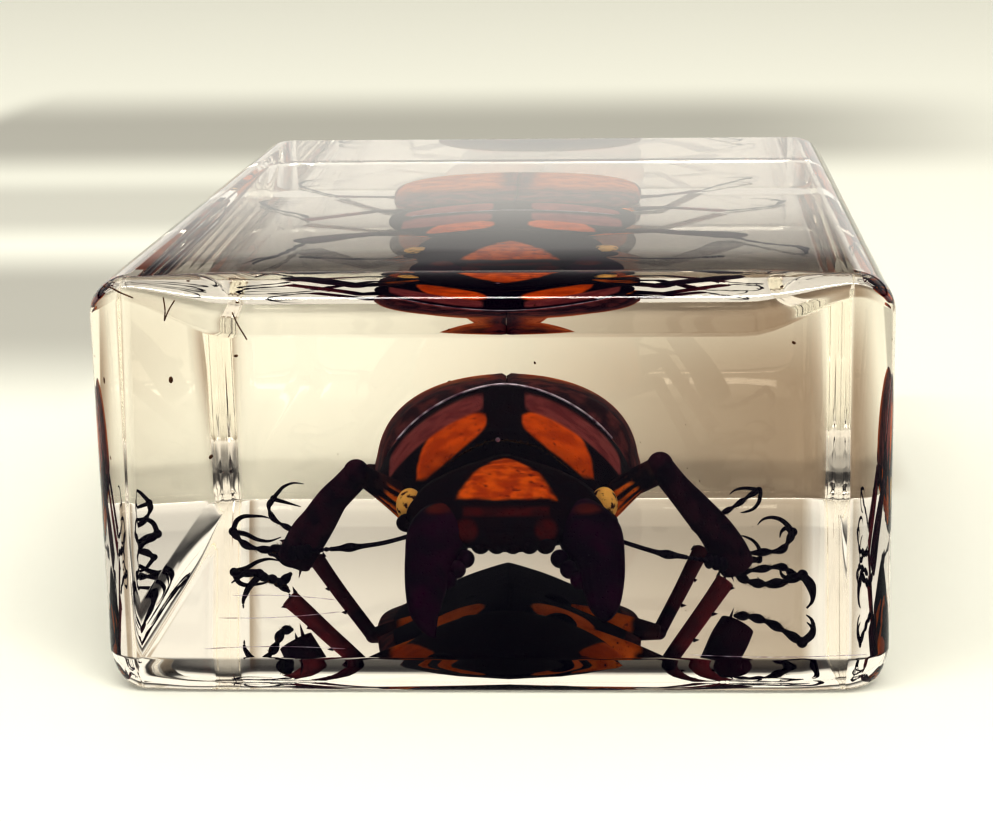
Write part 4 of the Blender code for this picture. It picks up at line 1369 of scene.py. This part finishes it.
legSet = {
    # x, y, z of the hip, the knee, and points down the shin, along the foot and along each claw
    "frontLeft": {
        "kind": "front", "hip": (-4.4, -5.0, 4.3), "knee": (-8.4, -8.0, 7.6),
        "shin": ((-9.05, -7.7, 6.8), (-9.86, -7.3, 5.85), (-10.6, -7.0, 4.7), (-11.3, -6.7, 3.7),
                 (-12.1, -6.3, 2.3)),
        "foot": ((-12.3, -6.5, 1.6), (-12.7, -8.5, 1.4), (-12.9, -10.5, 1.9), (-13.2, -12.0, 2.2),
                 (-13.5, -13.2, 2.6)),
        "claws": (((-13.5, -13.2, 2.5), (-14.0, -13.8, 2.0), (-14.2, -14.2, 1.6), (-14.3, -14.4, 1.3),
                   (-14.3, -14.4, 0.9)),
                  ((-13.5, -13.2, 2.7), (-14.1, -13.8, 2.8), (-14.4, -14.6, 2.7), (-14.8, -15.6, 2.5))),
    },
    "frontRight": {
        "kind": "front", "hip": (4.4, -5.0, 4.5), "knee": (8.4, -7.4, 7.9),
        "shin": ((9.3, -6.9, 6.6), (10.35, -6.2, 5.3), (11.45, -5.4, 3.9), (12.2, -4.7, 2.6),
                 (12.7, -4.2, 1.7)),
        "foot": ((12.6, -4.0, 1.2), (13.4, -5.6, 1.0), (14.4, -7.0, 1.1), (15.4, -8.2, 1.5),
                 (16.2, -9.0, 1.9)),
        "claws": (((16.2, -9.0, 1.9), (16.7, -9.3, 1.5), (16.8, -9.6, 1.0), (16.7, -9.8, 0.5),
                   (16.4, -9.9, 0.2)),
                  ((16.2, -9.0, 1.9), (16.6, -10.0, 1.3), (16.7, -10.8, 0.8), (16.4, -11.3, 0.4))),
    },
    "middleLeft": {
        "kind": "middle", "hip": (-3.0, 4.2, 3.6), "knee": (-8.9, 4.5, 5.65),
        "shin": ((-9.9, 4.3, 4.65), (-11.0, 4.2, 3.6), (-12.2, 4.1, 2.4), (-13.2, 4.0, 1.45)),
        "foot": ((-13.3, 4.8, 1.15), (-13.9, 6.6, 1.07), (-15.0, 8.2, 0.84), (-16.1, 9.8, 0.84),
                 (-16.8, 11.4, 1.11), (-17.2, 13.0, 1.25)),
        "claws": (((-17.2, 13.0, 1.3), (-17.0, 13.2, 1.85), (-16.6, 13.4, 2.1), (-16.1, 13.6, 2.1),
                   (-15.5, 13.8, 2.05), (-15.05, 14.0, 1.9)),
                  ((-17.2, 13.0, 1.2), (-16.5, 13.3, 1.05), (-15.8, 13.5, 0.68), (-15.1, 13.7, 0.55),
                   (-14.4, 14.0, 0.75))),
    },
    "middleRight": {
        "kind": "middle", "hip": (2.8, 5.0, 3.6), "knee": (8.7, 5.4, 5.7),
        "shin": ((9.5, 6.0, 4.62), (10.5, 6.6, 3.3), (11.4, 7.2, 2.1), (12.2, 7.7, 1.0)),
        "foot": ((12.45, 7.8, 0.65), (13.36, 8.4, 0.55), (14.44, 9.2, 0.5), (15.5, 10.0, 0.5),
                 (15.98, 11.0, 0.9), (16.25, 12.0, 1.3)),
        "claws": (((16.25, 12.0, 1.3), (15.93, 12.2, 1.7), (15.53, 12.4, 2.0), (15.0, 12.6, 2.1),
                   (14.5, 12.8, 1.95), (14.2, 13.0, 1.6)),
                  ((16.25, 12.0, 1.2), (15.9, 12.2, 1.5), (15.6, 12.3, 1.3), (15.5, 12.5, 0.9))),
    },
    "hindLeft": {
        "kind": "hind", "hip": (-2.8, 11.0, 3.4), "knee": (-8.84, 12.0, 5.0),
        "shin": ((-9.75, 13.0, 4.0), (-10.7, 14.0, 2.95), (-11.6, 15.0, 1.9), (-12.4, 16.0, 0.95)),
        "foot": ((-12.6, 16.5, 0.6), (-13.66, 18.0, 0.5), (-14.5, 19.5, 0.6), (-15.4, 21.0, 0.9),
                 (-15.8, 22.5, 1.45), (-15.6, 24.0, 1.75)),
        "claws": (((-15.6, 24.0, 1.8), (-15.3, 24.1, 2.15), (-14.98, 24.2, 2.47), (-14.4, 24.4, 2.67),
                   (-13.75, 24.5, 2.6)),
                  ((-15.6, 24.0, 1.7), (-15.1, 24.2, 1.54), (-14.6, 24.3, 1.38), (-13.97, 24.5, 1.16))),
    },
    "hindRight": {
        "kind": "hind", "hip": (2.4, 11.0, 3.4), "knee": (8.3, 12.0, 4.8),
        "shin": ((9.0, 13.6, 3.7), (9.7, 15.1, 2.6), (10.3, 16.6, 1.6), (10.85, 18.0, 0.75)),
        "foot": ((11.3, 18.6, 0.6), (12.05, 20.0, 1.2), (12.63, 21.0, 1.42), (13.27, 22.0, 1.68),
                 (13.85, 23.0, 1.97), (14.5, 24.0, 2.19)),
        "claws": (((14.5, 24.0, 2.2), (14.08, 24.1, 2.28), (13.5, 24.2, 2.3), (13.0, 24.4, 2.14),
                   (12.7, 24.5, 1.87)),
                  ((14.6, 24.0, 2.1), (14.5, 24.1, 1.46), (14.15, 24.2, 1.0), (13.66, 24.4, 0.78),
                   (13.38, 24.5, 0.73))),
    },
}
legLook = {
    "front": {"femur": (1.2, 1.15, 0.98, 0.80, 0.64), "tibia": (0.66, 0.74, 0.86, 0.98, 1.08, 1.0),
              "foot": 0.27, "claw": 0.19, "streak": 0.5, "wrap": 1.35, "red": -1.0,
              "spines": {}, "spurs": {"Length": 1.0}},
    "middle": {"femur": (0.7, 0.95, 0.98, 0.85, 0.55), "tibia": (0.46, 0.48, 0.50, 0.52, 0.56),
               "foot": 0.24, "claw": 0.16, "streak": 0.12, "wrap": 2.3, "red": 0.6,
               "spines": {"Count": 3, "Length": 0.4}, "spurs": {"Length": 0.55}},
    "hind": {"femur": (0.7, 0.95, 0.98, 0.85, 0.55), "tibia": (0.42, 0.42, 0.44, 0.46, 0.50),
             "foot": 0.19, "claw": 0.13, "streak": 0.12, "wrap": 2.3, "red": 0.0,
             "spines": {"Count": 3, "Length": 0.4}, "spurs": {"Length": 0.45}},
    "hipSize": (1.2, 1.0, 1.0), "hipBack": (-0.4, 0.0, -0.1), "bow": 0.15, "femurFlat": 0.82,
    "kneeShare": 1.08, "tibiaFlat": 0.9, "redFade": 0.8, "redFrom": (0.8, 2.4),
    # the spines stand along the shin's outer edge, the spurs at its end
    "spines": {"Count": 7, "Length": 0.55, "Thickness": 0.14, "Sides": 8, "Scatter": 0.15, "Shortest": 0.45},
    "spineRow": (0.35, 0.97), "spineOut": 0.5, "spineLean": 0.6,
    "spurs": {"Count": 2, "Thickness": 0.13}, "spurRow": (-0.5, -0.1), "spurLean": (-0.15, -0.15, -0.45),
    "joints": {"Joints": 4, "Rings Per Joint": 11, "Pinch": 0.34, "Sides": 16}, "toeShare": 1.15,
    "bristles": {"Count": 60, "Length": 0.32, "Thickness": 0.016, "Sides": 3, "Scatter": 0.8,
                 "Shortest": 0.4, "Lean": (0.0, 0.0, -0.8)},
    "bristleUnder": 0.6, "clawTaper": 0.85, "clawPower": 1.6,
}


def evenRun(start, end, radii, bow, bowAxis=(0.0, 0.0, 1.0)):
    # a straight run of points x, y, z, radius, bowed a little to one side
    steps = len(radii) - 1
    run = []
    for i, radius in enumerate(radii):
        place = Vector(start).lerp(Vector(end), i / steps)
        place += Vector(bowAxis) * bow * math.sin(math.pi * i / steps)
        run.append((*place, radius))
    return run


streakSet = {
    # amber along the lower front of the thigh, broken by dark streaks, dark towards the knee
    "towards": (0.0, -0.55, -0.83), "amber": 0.22, "often": 5.0, "shift": 0.6, "streakFrom": (0.15, 0.6),
    "wrapFade": 0.6, "from": 0.02, "to": 0.70, "fade": 3.0,
}


def femurMark(start, end, streaks, wrap, look):
    start, end = Vector(start), Vector(end)
    axis = (end - start).normalized()
    reach = (end - start).length
    lower = Vector(look["towards"])
    lower = (lower - lower.dot(axis) * axis).normalized()
    beside = axis.cross(lower)

    def mark(point):
        along = (point - start).dot(axis) / reach
        off = (point - start) - (point - start).dot(axis) * axis
        turn = math.atan2(off.dot(beside), off.dot(lower))
        waves = math.cos(look["often"] * turn + look["shift"]) ** 2
        streak = look["amber"] - streaks * waves * ramp(along, *look["streakFrom"])
        return min(streak, (wrap - abs(turn)) * look["wrapFade"],
                   (look["to"] - along) * look["fade"], (along - look["from"]) * look["fade"])

    return mark


def makeLeg(name, leg, look):
    hip, knee, ankle = Vector(leg["hip"]), Vector(leg["knee"]), Vector(leg["shin"][-1])
    build, foot = look[leg["kind"]], leg["foot"]
    outward = math.copysign(1.0, ankle.x)
    heading = (ankle - knee).normalized()
    side = Vector((outward, 0.0, 0.0))
    side = (side - side.dot(heading) * heading).normalized()
    seed = len(name)

    thigh = evenRun(hip, knee, build["femur"], look["bow"])
    amber = femurMark(hip, knee, build["streak"], build["wrap"], streakSet)
    parts = [limbMesh("femur", thigh, shells["femur"], count=28, around=30, flat=look["femurFlat"],
                      marks=amber)]
    kneeSize = (build["tibia"][0] * look["kneeShare"],) * 3
    parts.append(blobMesh("knee", knee, kneeSize, shells["tibia"], around=20, rings=14))

    def red(point):
        return build["red"] - look["redFade"] * (1 - ramp((point - knee).length, *look["redFrom"]))

    shin = [(*place, radius) for place, radius in zip((knee, *leg["shin"]), build["tibia"])]
    parts.append(limbMesh("tibia", shin, shells["tibia"], count=30, around=26, flat=look["tibiaFlat"],
                          flatAxis=(0.0, 1.0, 0.0), marks=red))
    x, y, z = look["hipBack"]
    place = hip + Vector((outward * x, y, z))
    parts.append(blobMesh("coxa", place, look["hipSize"], shells["underside"], around=22, rings=14))

    edge = [(*(knee.lerp(ankle, part) + look["spineOut"] * side), 1.0) for part in look["spineRow"]]
    lean = tuple(side + look["spineLean"] * heading)
    spines = {**look["spines"], **build["spines"], "Lean": lean, "Seed": seed, "Material": shells["tibia"]}
    parts.append(grownByNodes(pathCurve("shinEdge", edge), thornTree, spines, "thorns"))
    inner = [(*(ankle + reach * side), 1.0) for reach in look["spurRow"]]
    x, y, z = look["spurLean"]
    lean = tuple(heading + Vector((outward * x, y, z)))
    spurs = {**spines, **look["spurs"], **build["spurs"], "Lean": lean}
    parts.append(grownByNodes(pathCurve("spurEdge", inner), thornTree, spurs, "spurs"))

    thick = build["foot"]
    run = pathCurve("footRun", [(p.x, p.y, p.z, thick) for p in smoothRun(foot, 44)])
    joints = dict(look["joints"], Material=shells["foot"])
    parts.append(grownByNodes(run, limbTree, joints, "foot"))
    toeSize = (thick * look["toeShare"],) * 3
    parts.append(blobMesh("toe", foot[-1], toeSize, shells["foot"], around=16, rings=10))
    under = pathCurve("bristleRun", [(x, y, z - look["bristleUnder"] * thick, 1.0) for x, y, z in foot[:-1]])
    bristles = dict(look["bristles"], Seed=seed + 3, Material=hairLook)
    parts.append(grownByNodes(under, thornTree, bristles, "bristles"))
    for claw in leg["claws"]:
        last = len(claw) - 1
        taper = [1.0 - look["clawTaper"] * (i / last) ** look["clawPower"] for i in range(last + 1)]
        run = [(*place, build["claw"] * thin) for place, thin in zip(claw, taper)]
        parts.append(limbMesh("claw", run, shells["foot"], count=24, around=12))
    return finishPiece(joined(name, parts), (nodeInsect,))


for legName, leg in legSet.items():
    makeLeg("leg" + legName[0].upper() + legName[1:], leg, legLook)
print("legs made")


# what floats in the resin

fleckSet = {
    # x, y, z, radius; each speck is narrower than a ball one way and longer another
    "specks": ((-16.88, -24.5, 14.64, 0.11), (-15.66, -16.5, 9.56, 0.09), (-13.73, -21.5, 15.56, 0.07),
               (15.17, -26.5, 16.66, 0.07), (1.76, -16.5, 14.59, 0.05), (-4.15, 13.9, 10.0, 0.16)),
    "speckShape": (1.0, 0.7, 1.6), "speckTurn": 0.7,
    "bubble": (-0.32, -14.5, 10.19, 0.13),
    # start and end of each thread near the front, as x, y, z
    "threads": (((-13.15, -33.5, 4.58), (-7.99, -33.5, 4.37)), ((-13.85, -33.5, 3.43), (-7.75, -33.5, 3.75)),
                ((-14.56, -34.5, 1.99), (-7.48, -34.5, 2.0)), ((9.84, -34.5, 1.71), (18.31, -34.5, 1.72))),
    "threadRadius": 0.02, "threadBow": 0.12,
    "thread": {"Joints": 6, "Rings Per Joint": 4, "Pinch": 0.4, "Sides": 6, "Material": filmLook},
    # fine cracks behind the ground upper edge of the front: start, end
    "cracks": (((-16.0, -35.9, 19.95), (-15.95, -35.9, 18.85)),
               ((-15.45, -35.9, 19.8), (-15.95, -35.9, 18.85)),
               ((-19.0, -35.5, 20.5), (-17.5, -35.8, 19.95)), ((-12.6, -35.9, 19.2), (-11.9, -35.9, 17.9))),
    "crackRadius": 0.03, "crackBow": 0.05, "points": 9,
    "dust": {"Count": 16, "Low Corner": (-17.0, -33.0, 2.5), "High Corner": (17.0, 33.0, 18.5),
             "Smallest": 0.012, "Largest": 0.032, "Stretch": (1.0, 1.0, 1.3), "Detail": 2, "Seed": 7,
             "Material": hairLook},
}


def makeFlecks(look):
    parts = []
    for i, (x, y, z, radius) in enumerate(look["specks"]):
        size = [radius * share for share in look["speckShape"]]
        turn = Matrix.Rotation(look["speckTurn"] * i, 3, "Y")
        parts.append(blobMesh("speck", (x, y, z), size, hairLook, around=14, rings=10, turn=turn))
    x, y, z, radius = look["bubble"]
    parts.append(blobMesh("bubble", (x, y, z), (radius,) * 3, filmLook, around=20, rings=14))
    for i, (start, end) in enumerate(look["threads"]):
        run = evenRun(start, end, (look["threadRadius"],) * look["points"], look["threadBow"] * (-1) ** i)
        parts.append(grownByNodes(pathCurve("threadRun", run), limbTree, look["thread"], "thread"))
    for i, (start, end) in enumerate(look["cracks"]):
        radii = (look["crackRadius"],) * look["points"]
        run = evenRun(start, end, radii, look["crackBow"] * (-1) ** i, (1.0, 0.0, 0.0))
        parts.append(limbMesh("crack", run, hairLook, count=16, around=6))
    seed = pathCurve("dustSeed", ((0.0, 0.0, 0.0, 1.0), (0.0, 0.0, 1.0, 1.0)))
    parts.append(grownByNodes(seed, bitsTree, look["dust"], "dust"))
    return finishPiece(joined("flecks", parts), nodesResin)


makeFlecks(fleckSet)
print("flecks made")
